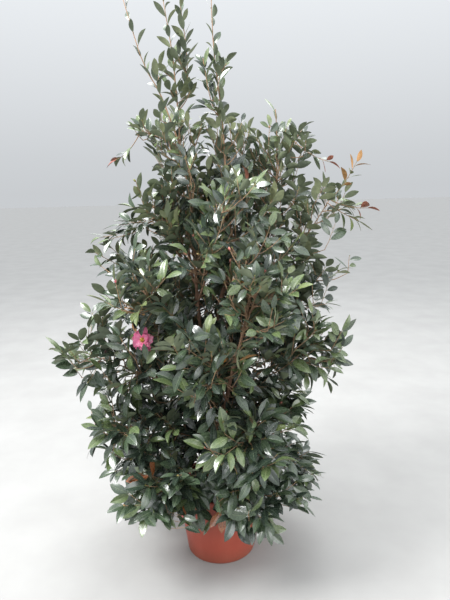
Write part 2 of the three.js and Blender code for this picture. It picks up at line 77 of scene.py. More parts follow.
STEMS = table(
    "name leaves points",
    ("stem_left", 520, [(-42, -18, 760), (-65, -38, 1067), (-75, -45, 1342)]),
    ("stem_right", 600, [(75, 30, 840), (150, 48, 1090), (210, 50, 1300)]),
    ("stem_front", 480, [(30, -75, 660), (56, -120, 800), (88, -170, 940)]),
    ("stem_back", 640, [(-50, 90, 900), (-95, 140, 1200), (-110, 135, 1440)]),
    ("stem_rear_right", 700, [(50, 90, 900), (105, 155, 1120), (125, 185, 1280)]),
)
TIERS = table(
    "name tip leave left right front back count first halfway",
    ("low", 345, 405, 525, 425, 400, 440, 5, 150, -0.6),
    ("lower", 650, 510, 530, 355, 430, 460, 4, 200, 0.7),
    ("middle", 950, 690, 630, 500, 460, 500, 5, 198, 0.55),
    ("shoulder", 1185, 880, 430, 530, 430, 470, 5, 150, 0.35),
    ("upper", 1480, 1110, 300, 570, 330, 400, 4, 8, 0.3),
)
LEAVE_STAGGER = 38
LEAVE_ROOM = 20
TIP_STAGGER = 30
MASS = Values(twigs=5, shoot_leaves=6, spread=200, taper=0.3, size=1.1, size_taper=0.15)
LEAF_ALLOWANCE = 95
LEAF_TURNS = (0, 0.7, -0.7, 1.6, -1.6)
LEHMER = Values(factor=48271, modulus=2147483647)
SEEDS = Values(
    branch=101, tier=17, number=5, leader=901, leader_step=13, mass=500, fine=7000, inner=9000, shown=4400,
    sight=515, limb_step=31, bark_step=7, crumbs=4242, bloom=77, fallen=313,
)
HANG = Values(lowest=185, rise=0.3, opens_at=60, tip_room=70)
LEADERS = table(
    "name stem twigs shoot_leaves spread taper size size_taper points side",
    ("leaves_top_middle", "trunk", 8, 15, 200, 1.1, 1, 0.5,
     [(55, 0, 1459), (53, 0, 1697), (39, 0, 1841), (24, 0, 1980), (19, 0, 2185)],
     [(12, -15, 1800), (-16, -20, 1960)]),
    ("leaves_top_left", "stem_left", 8, 13, 190, 1.1, 1, 0.5,
     [(-83, -40, 1587), (-116, -40, 1679), (-142, -40, 1755), (-175, -40, 1845), (-230, -40, 1950),
      (-288, -40, 2160)],
     [(-205, -30, 1700), (-255, -15, 1710)]),
    ("leaves_top_right", "stem_right", 7, 8, 160, 0.7, 0.95, 0.5,
     [(237, 40, 1458), (253, 40, 1535), (254, 40, 1700), (250, 40, 1790)],
     [(300, 40, 1640), (355, 40, 1720)]),
    ("leaves_top_back", "stem_back", 7, 13, 180, 1.1, 0.95, 0.5,
     [(-115, 110, 1700), (-126, 100, 1915), (-133, 100, 2015), (-160, 100, 2205)],
     [(-85, 115, 1870), (-79, 120, 2019), (-96, 120, 2180)]),
    ("leaves_front", "stem_front", 7, 6, 190, 0.4, 1, 0.2,
     [(118, -215, 1080), (127, -232, 1140), (112, -250, 1260)], []),
    ("leaves_rear_right", "stem_rear_right", 6, 6, 190, 0.4, 1, 0.2,
     [(135, 215, 1450), (120, 220, 1600)], []),
)
LEADER_FORK = 45
BLOOM = Values(at=(-265, -160, 965), facing=(-0.3, -0.9, 0.15), radius=46, sight=130, mass="leaves_middle_1")

# The photograph was taken from 1.5 m above the ground, looking a little down
CAMERA = Values(
    back=2.087, height=1.5, pitch=11.6, roll=1.44, yaw=1.142, focal_px=540, frame_px=600, sensor=36,
)

# Sizes of the finer growth. Leaves get smaller and sprays more upright from the first height to the second
FINE = Values(low=600, high=1650, large=77, small=56, lift_low=0.25, lift_high=0.7)
FINE_TWIGS = {"low": 8, "lower": 8, "middle": 7, "shoulder": 5, "upper": 4, "top": 4, "front": 5, "rear": 5}
FINE_TWIG = Values(turn=1.7, shift=2, shortest=0.55, spread=0.4)
SPRAYS = Values(on_twig=4, on_shoot=1.5, on_leader=2.4, inset=0.03, first=0.12, last=0.985)
SPRAY = Values(
    leaf_spacing=17, radius=1.5, tip=0.9, lift=0.16, first_leaf=0.25, last_leaf=0.97, angle=50, fan=26,
    bare=0.2, reach=12, trespass=-60, room=4, sway=0.25, end_size=0.92, steps=3, probes=(0.35, 0.7, 1.0),
)
# Sprays shrink above the first height, and above the second there are only single leaves
SINGLE = Values(low=1640, high=1840)
BLADE = Values(ratio=0.41, petiole=6, thickness=0.35, fold=0.55, recurve=0.26)
# How leaves differ. Where there is a pair, it is the least and how much more there can be
VARIED = Values(
    droop=(0.02, 0.3), low_droop=1.1, wobble=1.3, up=0.3, length=(0.78, 0.42), ratio=(0.88, 0.24),
    bend=(0.1, 0.8), fold=(0.3, 1.3), sweep=0.26, twist=0.8,
)
# The share of a colour among the sprays, and what being far out and being high add to it. The lighter leaves
# outside and at the top and the darker ones inside and low are partly paler outer growth and partly painted
# light: painted backlight shining through the outer leaves and painted shade inside the crown. The share of
# fresh ones grows from nothing with the height
KIND_SHARES = Values(fresh=(0.012, 0.02), light=(0.02, 0.06, 0.22), deep=(0.78, -0.24, -0.44))
KIND_RANGE = Values(out=480, low=300, high=1800)
OTHER_KIND = {"deep": "mid", "mid": "light", "light": "mid", "fresh": "light"}
# The share of leaves in their neighbours' colour, and of high sprays with a fresh leaf at the tip
MIXED = 0.25
YOUNG_TIPS = 0.26
LEAF_ROOM = 17.5
CLEAR_OF_LIMBS = Values(middle=6, tip=3)
LEAFY_TWIG = Values(foot=2.6, tip=1.3, sides=5, past=0.02)
INNER = Values(
    reach=(80, 110), angle=55, lowest=400, full=1300, highest=1640, shorter=0.45, steps=3, lift=0.25,
    sway=0.4, room=3, size=(0.75, 0.3), shares=(0.4, 0.62, 0.84, 0.985),
)
# Where the crown is open: the share of sprays that is left out, and the stretches over which it opens, each
# with its axis, the side of it, and where the opening starts and is full
OPENINGS = [
    (0.75, [(2, 1, 1300, 1720)]),
    (0.5, [(0, 1, 180, 380), (2, 1, 850, 1050)]),
    (0.3, [(0, -1, 330, 450), (2, 1, 700, 800)]),
    (0.9, [(0, -1, 270, 330), (1, -1, -60, 20), (2, -1, -480, -430)]),
]
ALMOST_ALL = 0.999

# Leaves with a colour of their own, most of them turned: the nearest ones to each place
TURNED = table(
    "kind count at",
    ("dead", 2, (-258, -250, 440)), ("dead", 1, (-150, -250, 330)), ("dead", 2, (10, -230, 320)),
    ("amber", 3, (80, -260, 1180)), ("fresh", 3, (100, -250, 1260)), ("fresh", 3, (-20, -300, 1060)),
    ("amber", 2, (68, -250, 920)), ("amber", 2, (-290, -180, 1050)), ("red", 3, (430, -60, 1590)),
    ("amber", 3, (549, 0, 1584)), ("red", 4, (592, 0, 1416)), ("fresh", 5, (560, 0, 1370)),
    ("amber", 2, (501, 0, 1508)), ("red", 1, (110, -200, 1570)), ("red", 2, (-330, 0, 1600)),
    ("fresh", 3, (-440, -60, 640)), ("dead", 2, (200, 260, 700)), ("amber", 2, (-180, 300, 520)),
    ("amber", 2, (60, 330, 1150)), ("fresh", 3, (-330, 250, 1180)),
)
# Shoots that the photograph shows by themselves, and some that fill a gap: where each ends, the height of
# its bend above the straight line, how many leaves it has and how long they are. Those that end near the
# pot's rim or under it hang over it.
SHOWN_SHOOTS = [
    (-118, -214, 262, 60, 5, 78), (-70, -226, 250, 70, 5, 80), (-28, -232, 262, 75, 5, 78),
    (18, -232, 240, 80, 5, 82), (62, -228, 225, 80, 6, 84), (108, -222, 235, 70, 6, 80),
    (150, -196, 262, 60, 5, 78), (0, -240, 300, 60, 5, 80), (-90, -238, 310, 50, 5, 80),
    (90, -240, 310, 50, 5, 80), (-52, -205, 420, 10, 6, 78), (-20, -220, 370, 20, 6, 80),
    (24, -225, 345, 30, 6, 80), (-84, -215, 365, 20, 6, 78), (55, -215, 410, 10, 6, 78),
    (215, -90, 400, 20, 6, 78), (225, -20, 440, 20, 6, 78), (220, 50, 410, 20, 6, 78),
    (205, 110, 450, 20, 6, 78), (232, -40, 505, 20, 7, 78), (238, 30, 525, 20, 7, 78),
    (150, 20, 500, 20, 7, 78), (150, -60, 450, 20, 7, 78), (140, 90, 440, 20, 7, 78),
    (-150, 30, 480, 20, 7, 78), (-210, -60, 410, 20, 6, 78), (-220, 20, 440, 20, 6, 78),
    (-205, 95, 400, 20, 6, 78), (-236, 10, 300, 70, 5, 78), (-228, -60, 280, 70, 5, 78),
    (120, 205, 420, 20, 6, 78), (20, 225, 400, 20, 6, 78), (-90, 215, 430, 20, 6, 78),
    (-375, -100, 745, 20, 6, 66), (-330, -120, 760, 20, 6, 66), (-420, -60, 720, 20, 6, 66),
    (-300, -60, 790, 20, 6, 66), (430, -60, 1590, -20, 7, 52), (549, 0, 1584, -30, 8, 52),
    (592, 0, 1416, -20, 7, 54), (560, 0, 1370, -10, 7, 56), (-345, 0, 1620, -30, 6, 50),
    (-425, 0, 1330, -20, 8, 60), (-450, 0, 1270, -10, 8, 60), (-380, -60, 1330, -20, 8, 60),
    (-340, -40, 1380, -30, 8, 58), (-400, 40, 1290, -20, 8, 60), (-300, -80, 1390, -30, 8, 58),
    (-430, -50, 1230, -10, 8, 60), (-350, 60, 1350, -20, 8, 58), (-300, 0, 1440, -30, 8, 56),
    (-440, -40, 790, 20, 7, 66), (-400, -120, 800, 20, 7, 66), (-340, -160, 740, 20, 7, 66),
    (-460, 20, 700, 20, 7, 66), (-285, 40, 715, 10, 8, 70), (-250, -60, 745, 10, 8, 70),
    (-200, 40, 620, 10, 8, 70), (-165, -60, 650, 10, 8, 70), (-350, 20, 695, 10, 7, 66),
    (-108, -60, 435, 10, 7, 74), (-145, 0, 435, 10, 7, 74), (470, -40, 800, 30, 7, 66),
    (430, -80, 760, 30, 7, 68),
]
SHOWN_SHOOT = Values(radius=2.0, tip=1.0, first_leaf=0.3, last_leaf=0.98, angle=42, least=60, steps=8)
# Stretches of stem that the photograph shows between the leaves: the limb, and its lowest and highest point
SHOWN_STEMS = [
    ("trunk", 440, 560), ("trunk", 980, 1310), ("stem_left", 1000, 1342), ("stem_front", 640, 940),
    ("leaves_front", 940, 1130), ("leaves_top_middle", 1310, 1420),
]
SIGHT = Values(depth=460, room=24, share=0.9)
# Leaves that the photograph shows about the bloom: root from its middle, heading, length and colour
BLOOM_LEAVES = table(
    "root heading length kind",
    ((14, -34, -76), (-0.12, -0.1, 1), 66, "mid"), ((-8, -30, -72), (-0.2, -0.2, 1), 50, "deep"),
    ((-22, -10, 26), (-0.3, -0.3, 1), 38, "amber"), ((-10, 0, 30), (0.5, -0.3, 1), 34, "fresh"),
)
UP = np.array([0.0, 0.0, 1.0])


def stream(seed):
    """Seeded draws from 0 to 1, the same as in the part's source."""
    state = seed

    def draw():
        nonlocal state
        state = (state * LEHMER.factor) % LEHMER.modulus
        return state / LEHMER.modulus

    return draw


def vector(place):
    return np.array(place, float)


def drawn(pair, draw):
    """The least value and a drawn share of how much more there can be."""
    return pair[0] + pair[1] * draw()


def unit(direction):
    return direction / math.sqrt(float(direction @ direction))


def cross(a, b):
    return np.array([a[1] * b[2] - a[2] * b[1], a[2] * b[0] - a[0] * b[2], a[0] * b[1] - a[1] * b[0]])


def sideways(direction):
    """A direction square to another one, level where it can be."""
    reference = np.array([1.0, 0.0, 0.0]) if abs(direction[2]) > 0.9 else UP
    return unit(cross(direction, reference))


def around(direction, angle):
    side = sideways(direction)
    return side * math.cos(angle) + cross(side, direction) * math.sin(angle)


def between(direction, towards, degrees):
    """The direction at an angle from one direction towards another that is square to it."""
    turn = math.radians(degrees)
    return unit(direction * math.cos(turn) + towards * math.sin(turn))


def square_to(direction, other):
    return unit(direction - other * float(direction @ other))


def outwards(place):
    return unit(np.array([place[0], place[1], 0.0]))


def part_way(value, low, high):
    return min(1.0, max(0.0, (value - low) / (high - low)))


# Limbs, as in the part's source
def smooth_path(points, steps):
    """Points along a uniform Catmull-Rom curve through the given ones."""
    points = np.asarray(points, float)
    padded = np.vstack([2 * points[0] - points[1], points, 2 * points[-1] - points[-2]])
    place = np.linspace(0, len(points) - 1, steps + 1)
    i = np.minimum(place.astype(int), len(points) - 2)
    t = (place - i)[:, None]
    before, start, end, after = (padded[i + k] for k in range(4))
    leaving, arriving = (end - before) / 2, (after - start) / 2
    return (
        (2 * t**3 - 3 * t**2 + 1) * start + (t**3 - 2 * t**2 + t) * leaving
        + (3 * t**2 - 2 * t**3) * end + (t**3 - t**2) * arriving
    )


def bent_path(foot, middle, tip, first, last, steps):
    """Points along a share of a quadratic Bezier curve."""
    t = np.linspace(first, last, steps + 1)[:, None]
    return (1 - t) ** 2 * foot + 2 * t * (1 - t) * middle + t**2 * tip


def point_at_height(path, height):
    above = np.nonzero(path[1:, 2] >= height)[0]
    i = above[0] if len(above) else 0
    t = np.clip((height - path[i][2]) / (path[i + 1][2] - path[i][2]), 0, 1)
    return path[i] + (path[i + 1] - path[i]) * t


def point_on_path(path, share):
    place = share * (len(path) - 1)
    i = min(int(place), len(path) - 2)
    return path[i] + (path[i + 1] - path[i]) * (place - i), unit(path[i + 1] - path[i])


def piece_lengths(path):
    return np.linalg.norm(np.diff(path, axis=0), axis=1)


def limb_along(path, first, last, name=None):
    return Values(name=name, path=path, radii=np.linspace(first, last, len(path)))


def reach_at(tier, azimuth):
    across = math.cos(azimuth) / (tier.right if math.cos(azimuth) > 0 else tier.left)
    deep = math.sin(azimuth) / (tier.back if math.sin(azimuth) > 0 else tier.front)
    return 1 / math.hypot(across, deep)


def hang_height(points):
    x, y = points[..., 0], points[..., 1]
    return HANG.lowest + np.where(x < HANG.opens_at, HANG.rise * np.maximum(0, -y), 0)


def branch(tier, number, carriers, seed):
    """One curve: its first share is the bough, and the rest is the stem inside its mass of leaves."""
    draw = stream(seed)
    azimuth = math.radians(tier.first) + 2 * math.pi * number / tier.count
    reach = reach_at(tier, azimuth) - LEAF_ALLOWANCE
    height = tier.tip + (draw() - 0.5) * 2 * TIP_STAGGER
    tip = np.array([reach * math.cos(azimuth), reach * math.sin(azimuth), height])
    tip[2] = max(tip[2], hang_height(tip) + HANG.tip_room)
    leave = tier.leave + (number % 3 - 1) * LEAVE_STAGGER
    feet = [
        point_at_height(limb.path, leave) for limb in carriers
        if limb.path[0][2] < leave - LEAVE_ROOM and limb.path[-1][2] > leave + LEAVE_ROOM
    ]
    foot = min(feet, key=lambda p: np.linalg.norm(p - tip))
    middle = (foot + tip) / 2 + sideways(unit(tip - foot)) * (draw() - 0.5) * 2 * BOUGH.sway
    middle[2] = foot[2] + (tip[2] - foot[2]) * tier.halfway
    label = f"{tier.name}_{number + 1}"
    bough_path = bent_path(foot, middle, tip, 0, BOUGH.share, BOUGH.steps)
    shoot = limb_along(bent_path(foot, middle, tip, BOUGH.share, 1, SHOOT.steps), BOUGH.end, SHOOT.tip)
    mass = Values(**vars(MASS), name=f"leaves_{label}", seed=seed + SEEDS.mass, shoots=[shoot], leader=False)
    return limb_along(bough_path, BOUGH.radius, BOUGH.end, f"bough_{label}"), mass


def leader_mass(leader, carriers, seed):
    """A leader goes on from its stem's tip. Its side shoot leaves it lower down."""
    stem = next(limb for limb in carriers if limb.name == leader.stem)
    path = smooth_path([stem.path[-1], *leader.points], SHOOT.leader_steps)
    shoots = [limb_along(path, stem.radii[-1], SHOOT.tip)]
    if leader.side:
        foot = point_at_height(path, leader.side[0][2] - LEADER_FORK)
        side = smooth_path([foot, *leader.side], SHOOT.steps)
        shoots.append(limb_along(side, TWIG.radius, TWIG.radius))
    return Values(**vars(leader), seed=seed, shoots=shoots, leader=True)


def grow_limbs():
    path = smooth_path(TRUNK_POINTS, TRUNK.steps)
    trunk = limb_along(path, TRUNK.radius, TRUNK.top, "trunk")
    trunk.radii = trunk.radii + TRUNK.flare * np.exp(-(path[:, 2] - SOIL_TOP) / TRUNK.flare_height)
    carriers = [trunk]
    for stem in STEMS:
        path = smooth_path([point_at_height(trunk.path, stem.leaves), *stem.points], STEM.steps)
        carriers.append(limb_along(path, STEM.radius, STEM.top, stem.name))
    branches = [
        branch(tier, number, carriers, SEEDS.branch + SEEDS.tier * t + SEEDS.number * number)
        for t, tier in enumerate(TIERS) for number in range(tier.count)
    ]
    leaders = [
        leader_mass(leader, carriers, SEEDS.leader + SEEDS.leader_step * i)
        for i, leader in enumerate(LEADERS)
    ]
    return carriers, [bough for bough, _ in branches], [mass for _, mass in branches] + leaders


# Room: each mass keeps to its own space, clear of the limbs and of the pot
def segment_distances(points, starts, ends):
    """The distance from each point to each piece of a path."""
    along = ends - starts
    away = points[:, None, :] - starts[None, :, :]
    t = np.clip((away * along).sum(2) / (along * along).sum(1), 0, 1)
    return np.linalg.norm(away - t[..., None] * along, axis=2)


class Room:
    def __init__(self, limbs, masses):
        self.limbs = [np.vstack([limb.path[part] for limb in limbs]) for part in (slice(-1), slice(1, None))]
        self.limb_radii = np.concatenate([np.maximum(limb.radii[:-1], limb.radii[1:]) for limb in limbs])
        paths = [shoot.path for mass in masses for shoot in mass.shoots]
        self.masses = [np.vstack([path[part] for path in paths]) for part in (slice(-1), slice(1, None))]
        counts = [sum(len(shoot.path) - 1 for shoot in mass.shoots) for mass in masses]
        self.first = np.concatenate([[0], np.cumsum(counts)[:-1]])

    def own(self, points, index, margin):
        """Whether points are nearer to their own mass's shoots than to any other's, by a margin."""
        nearest = np.minimum.reduceat(segment_distances(points, *self.masses), self.first, 1)
        own = nearest[:, index].copy()
        nearest[:, index] = np.inf
        return nearest.min(1) > own + margin

    def clear(self, points, room):
        return (segment_distances(points, *self.limbs) > self.limb_radii + room).all(1)


def above_pot(points):
    over_pot = np.hypot(points[:, 0], points[:, 1]) < POT.rim + RIM_ROOM
    return points[:, 2] > np.where(over_pot, POT.height + RIM_ROOM, hang_height(points))


def off_pot(points):
    """Whether points stand clear of the pot itself, whatever their height."""
    at_height = POT.foot + (POT.rim - POT.foot) * np.clip(points[:, 2] / POT.height, 0, 1)
    out = np.hypot(points[:, 0], points[:, 1]) > at_height + POT.off
    return out | (points[:, 2] > POT.height + POT.off)


def inside(points, index):
    """Whether points are inside the reach of a mass, or of the whole crown."""
    low, high = reaches[index]
    return ((points > low) & (points < high)).all(1)


# The finer growth: each place of a leaf in the source has a spray of true-size leaves
def grow_twig(path, share, azimuth, length, index):
    """A twig, shortened until it keeps to its mass's space, or None."""
    foot, tangent = point_on_path(path, share)
    heading = between(tangent, around(tangent, azimuth), TWIG.angle - TWIG.closing * share)
    while length > TWIG.least:
        twig, aim = [foot], heading
        for _ in range(TWIG.steps):
            twig.append(twig[-1] + aim * length / TWIG.steps)
            aim = unit(aim + UP * TWIG.lift)
        places = smooth_path(twig, 6)[1:]
        if (above_pot(places).all() and room.own(places, index, SPACE_MARGIN).all()
                and room.clear(places, TWIG.radius + LIMB_CLEARANCE).all()):
            return np.array(twig)
        length *= TWIG.shorten
    return None


def add_leafy_part(path, smoothing, reach, steps):
    """A twig as far as its last spray, so that it doesn't end bare."""
    smooth = smooth_path(path, smoothing)
    shares = np.linspace(0, min(reach + LEAFY_TWIG.past, ALMOST_ALL), steps + 1)
    leafy = np.array([point_on_path(smooth, share)[0] for share in shares])
    growth.twigs.append((leafy, np.linspace(LEAFY_TWIG.foot, LEAFY_TWIG.tip, steps + 1), LEAFY_TWIG.sides))


def leaf_stance(root, tangent, azimuth, tilt):
    radial = around(tangent, azimuth)
    radial[2] *= LEAF.flatten
    direction = between(tangent, unit(radial), LEAF.angle)
    normal = outwards(root) * LEAF.outward + UP + sideways(direction) * tilt
    return direction, square_to(normal, direction)


def add_leaf(root, direction, normal, blade, index, draw, kind, bare=False, over_pot=False):
    if draw() < MIXED:
        kind = OTHER_KIND[kind]
    droop = drawn(VARIED.droop, draw) * (VARIED.low_droop - part_way(root[2], FINE.low, FINE.high))
    direction = unit(direction - UP * droop)
    wobble = sideways(direction) * (draw() - 0.5) * VARIED.wobble
    leaf = Values(
        root=root, direction=direction, normal=square_to(normal + UP * VARIED.up + wobble, direction),
        length=blade * drawn(VARIED.length, draw), ratio=BLADE.ratio * drawn(VARIED.ratio, draw),
        bend=drawn(VARIED.bend, draw), fold=BLADE.fold * drawn(VARIED.fold, draw),
        sweep=(draw() - 0.5) * VARIED.sweep, twist=(draw() - 0.5) * VARIED.twist, kind=kind, index=index,
        over_pot=over_pot,
    )
    if not bare:
        growth.leaves.append(leaf)


def grow_spray(path, share, azimuth, size, index, draw, kind, single=False):
    """A short stem with its leaves, or one leaf. Says whether there was room for it."""
    root, tangent = point_on_path(path, share)
    high = part_way(root[2], FINE.low, FINE.high)
    blade = FINE.large + (FINE.small - FINE.large) * high
    shrink = 0 if single else 1 - part_way(root[2], SINGLE.low, SINGLE.high)
    stem_length = max(0.0, LEAF.length * size - blade) * shrink
    length = stem_length + blade
    tilt = (draw() - 0.5) * LEAF.tilt
    lift = FINE.lift_low + (FINE.lift_high - FINE.lift_low) * high
    for turn in LEAF_TURNS:
        direction, normal = leaf_stance(root, tangent, azimuth + turn, tilt)
        direction = unit(direction + UP * lift * (0.5 + draw()))
        normal = square_to(normal, direction)
        places = np.array([root + direction * length * t for t in SPRAY.probes])
        if (above_pot(places).all() and inside(places, index).all()
                and (index == WHOLE_CROWN or room.own(places, index, SPRAY.trespass).all())
                and room.clear(places, SPRAY.room).all()):
            break
    else:
        return False
    if stem_length < SPRAY.leaf_spacing:
        add_leaf(root, direction, normal, blade, index, draw, kind)
        return True
    aim, stem = direction, [root]
    for _ in range(SPRAY.steps):
        stem.append(stem[-1] + aim * stem_length / SPRAY.steps)
        aim = unit(aim + UP * SPRAY.lift * (0.4 + high) + sideways(aim) * (draw() - 0.5) * SPRAY.sway)
    stem = np.array(stem)
    growth.twigs.append((stem, np.linspace(SPRAY.radius, SPRAY.tip, len(stem)), 4))
    count = max(2, round(stem_length / SPRAY.leaf_spacing))
    across = cross(normal, direction)
    side = 1 if draw() < 0.5 else -1
    for k in range(count):
        at = SPRAY.first_leaf + (SPRAY.last_leaf - SPRAY.first_leaf) * k / (count - 1)
        place, heading = point_on_path(stem, min(at, ALMOST_ALL))
        side = -side
        lean = across * side + normal * (draw() - 0.3)
        aim = between(heading, square_to(lean, heading), SPRAY.angle + (draw() - 0.5) * SPRAY.fan)
        bare = draw() < SPRAY.bare
        add_leaf(place, aim, normal, blade, index, draw, kind, bare)
    last = unit(stem[-1] - stem[-2])
    young = "fresh" if draw() < YOUNG_TIPS * high else kind
    add_leaf(stem[-1], last, normal, blade * SPRAY.end_size, index, draw, young)
    growth.tips.append((stem[-1], last, draw()))
    return True


def leaf_kind(place, draw):
    """The colour of a spray: darker inside and low in the crown, lighter at its outside and top, partly as
    paler outer growth and partly as painted backlight through the outer leaves and painted shade inside.
    """
    out = min(1.0, math.hypot(place[0], place[1]) / KIND_RANGE.out)
    high = part_way(place[2], KIND_RANGE.low, KIND_RANGE.high)
    pick = draw()
    fresh = (KIND_SHARES.fresh[0] + KIND_SHARES.fresh[1] * out) * high
    # Being far out and high makes light leaves likelier and deep ones rarer: partly real growth, partly
    # painted backlight at the crown's outside and top and painted shade inside and low
    light, deep = (
        least + by_out * out + by_high * high
        for least, by_out, by_high in (KIND_SHARES.light, KIND_SHARES.deep)
    )
    if pick < fresh:
        return "fresh"
    if pick < fresh + light:
        return "light"
    return "deep" if pick > 1 - deep else "mid"


def density(place):
    """The share of sprays that the photograph shows at a place: it is open at the top and at the sides."""
    left = 1.0
    for share, stretches in OPENINGS:
        for axis, side, start, full in stretches:
            share = share * part_way(side * place[axis], start, full)
        left *= 1 - share
    return left


def grow_twigs(mass, index, fine):
    """The shoots and twigs of a mass: path, leaves of a shoot, azimuth and share of a twig."""
    draw = stream(mass.seed)
    bearers = []

    def add_twig(path, share, azimuth, stretch):
        length = mass.spread * (1 - mass.taper * share) * stretch
        twig = grow_twig(path, share, azimuth, length, index)
        if twig is not None:
            bearers.append((twig, None, azimuth, share))

    for number, shoot in enumerate(mass.shoots):
        path, is_main = shoot.path, number == 0
        growth.twigs.append((smooth_path(path, 14), np.linspace(shoot.radii[0], 1.5, 15), 6))
        bearers.append((path, mass.shoot_leaves, mass.seed, None))
        count = mass.twigs if is_main else 1
        for i in range(count):
            share = min((i + 0.5) / count, TWIG.last_share)
            add_twig(path, share, i * GOLDEN_ANGLE + mass.seed, TWIG.shortest + TWIG.spread * draw())
        count = FINE_TWIGS[mass.name.split("_")[1]] if is_main else 1
        for i in range(count):
            share = (i + 0.25 + 0.5 * fine()) / count
            azimuth = i * GOLDEN_ANGLE * FINE_TWIG.turn + mass.seed + FINE_TWIG.shift
            add_twig(path, share, azimuth, FINE_TWIG.shortest + FINE_TWIG.spread * fine())
    return bearers


def grow_mass(mass, index):
    """The source's twigs from the source's seed, then finer ones from a stream of their own."""
    fine = stream(mass.seed + SEEDS.fine)
    on_shoot = SPRAYS.on_leader if mass.leader else SPRAYS.on_shoot
    for path, shoot_leaves, azimuth, twig_share in grow_twigs(mass, index, fine):
        is_twig = shoot_leaves is None
        count = SPRAYS.on_twig if is_twig else round(shoot_leaves * on_shoot)
        reach = 0
        for k in range(count, -1, -1):
            share = min(max(k / count - SPRAYS.inset, SPRAYS.first), SPRAYS.last)
            size = mass.size * (1 - mass.size_taper * (twig_share if is_twig else share))
            size *= LEAF.smallest + LEAF.spread * fine()
            place, _ = point_on_path(path, share)
            kind = leaf_kind(place, fine)
            single = mass.leader and not is_twig and k % 2 == 1
            chance = fine()
            alone = single or place[2] > SINGLE.high
            if alone or chance < density(place):
                where = WHOLE_CROWN if alone else index
                if grow_spray(path, share, k * GOLDEN_ANGLE + azimuth, size, where, fine, kind, single):
                    reach = max(reach, share)
        if is_twig and reach:
            add_leafy_part(path, 14, reach, 7)


def grow_inner(path, number, spacing):
    """Short leafy twigs that stand round a limb inside the crown."""
    draw = stream(SEEDS.inner + SEEDS.limb_step * number)
    count = int(piece_lengths(path).sum() / spacing)
    for i in range(count):
        foot, tangent = point_on_path(path, (i + 0.5) / count)
        aim = between(tangent, around(tangent, i * GOLDEN_ANGLE + number), INNER.angle)
        high = part_way(foot[2], INNER.full, INNER.highest)
        reach = drawn(INNER.reach, draw) * (1 - INNER.shorter * high)
        twig = [foot]
        for _ in range(INNER.steps):
            twig.append(twig[-1] + aim * reach / INNER.steps)
            aim = unit(aim + UP * INNER.lift + sideways(aim) * (draw() - 0.5) * INNER.sway)
        twig = np.array(twig)
        places = smooth_path(twig, 6)[2:]
        has_room = room.clear(places, INNER.room).all() and above_pot(places).all()
        if not INNER.lowest < foot[2] < INNER.highest or not has_room:
            continue
        leafy = 0
        for k, share in enumerate(INNER.shares):
            kind = leaf_kind(foot, draw)
            size = drawn(INNER.size, draw)
            if draw() > density(foot):
                continue
            if grow_spray(twig, share, k * GOLDEN_ANGLE + i, size, WHOLE_CROWN, draw, kind):
                leafy = share
        if leafy:
            add_leafy_part(twig, 12, leafy, 6)


def grow_shown(row, number, limbs, draw):
    """A leafy shoot from the nearest limb to its place."""
    *end, rise, count, blade = row
    end = vector(end)
    over_pot = end[2] < POT.height + RIM_ROOM
    places = np.vstack([smooth_path(limb.path, 24)[4:] for limb in limbs])
    far = np.linalg.norm(places - end, axis=1)
    foot = places[np.argmin(np.where(far > SHOWN_SHOOT.least, far, np.inf))]
    path = bent_path(foot, (foot + end) / 2 + UP * rise, end, 0, 1, SHOWN_SHOOT.steps)
    growth.twigs.append((path, np.linspace(SHOWN_SHOOT.radius, SHOWN_SHOOT.tip, len(path)), 5))
    first = SHOWN_SHOOT.first_leaf
    for k in range(count):
        share = first + (SHOWN_SHOOT.last_leaf - first) * (k + 0.5) / count
        place, heading = point_on_path(path, share)
        aim = between(heading, around(heading, k * GOLDEN_ANGLE + number), SHOWN_SHOOT.angle)
        face = square_to(UP + outwards(place), aim)
        kind = leaf_kind(place, draw)
        add_leaf(place, aim, face, blade, WHOLE_CROWN, draw, kind, over_pot=over_pot)
    last = unit(path[-1] - path[-2])
    face = square_to(UP + outwards(end), last)
    add_leaf(path[-1], last, face, blade, WHOLE_CROWN, draw, "mid", over_pot=over_pot)


def hides_stems(points):
    """Whether leaves stand in front of the stems that show, as seen from the front. A few are let be."""
    draw = stream(SEEDS.sight)
    eye = np.array([0, -CAMERA.back, CAMERA.height]) / MM
    paths = {limb.name: limb.path for limb in carriers}
    paths.update({mass.name: mass.shoots[0].path for mass in masses})
    starts = np.array([
        place for name, low, high in SHOWN_STEMS
        for place in smooth_path(paths[name], 60) if low < place[2] < high
    ])
    ends = np.array([place + unit(eye - place) * SIGHT.depth for place in starts])
    near = segment_distances(points, starts, ends).min(1) < SIGHT.room
    return near & (np.array([draw() for _ in points]) < SIGHT.share)


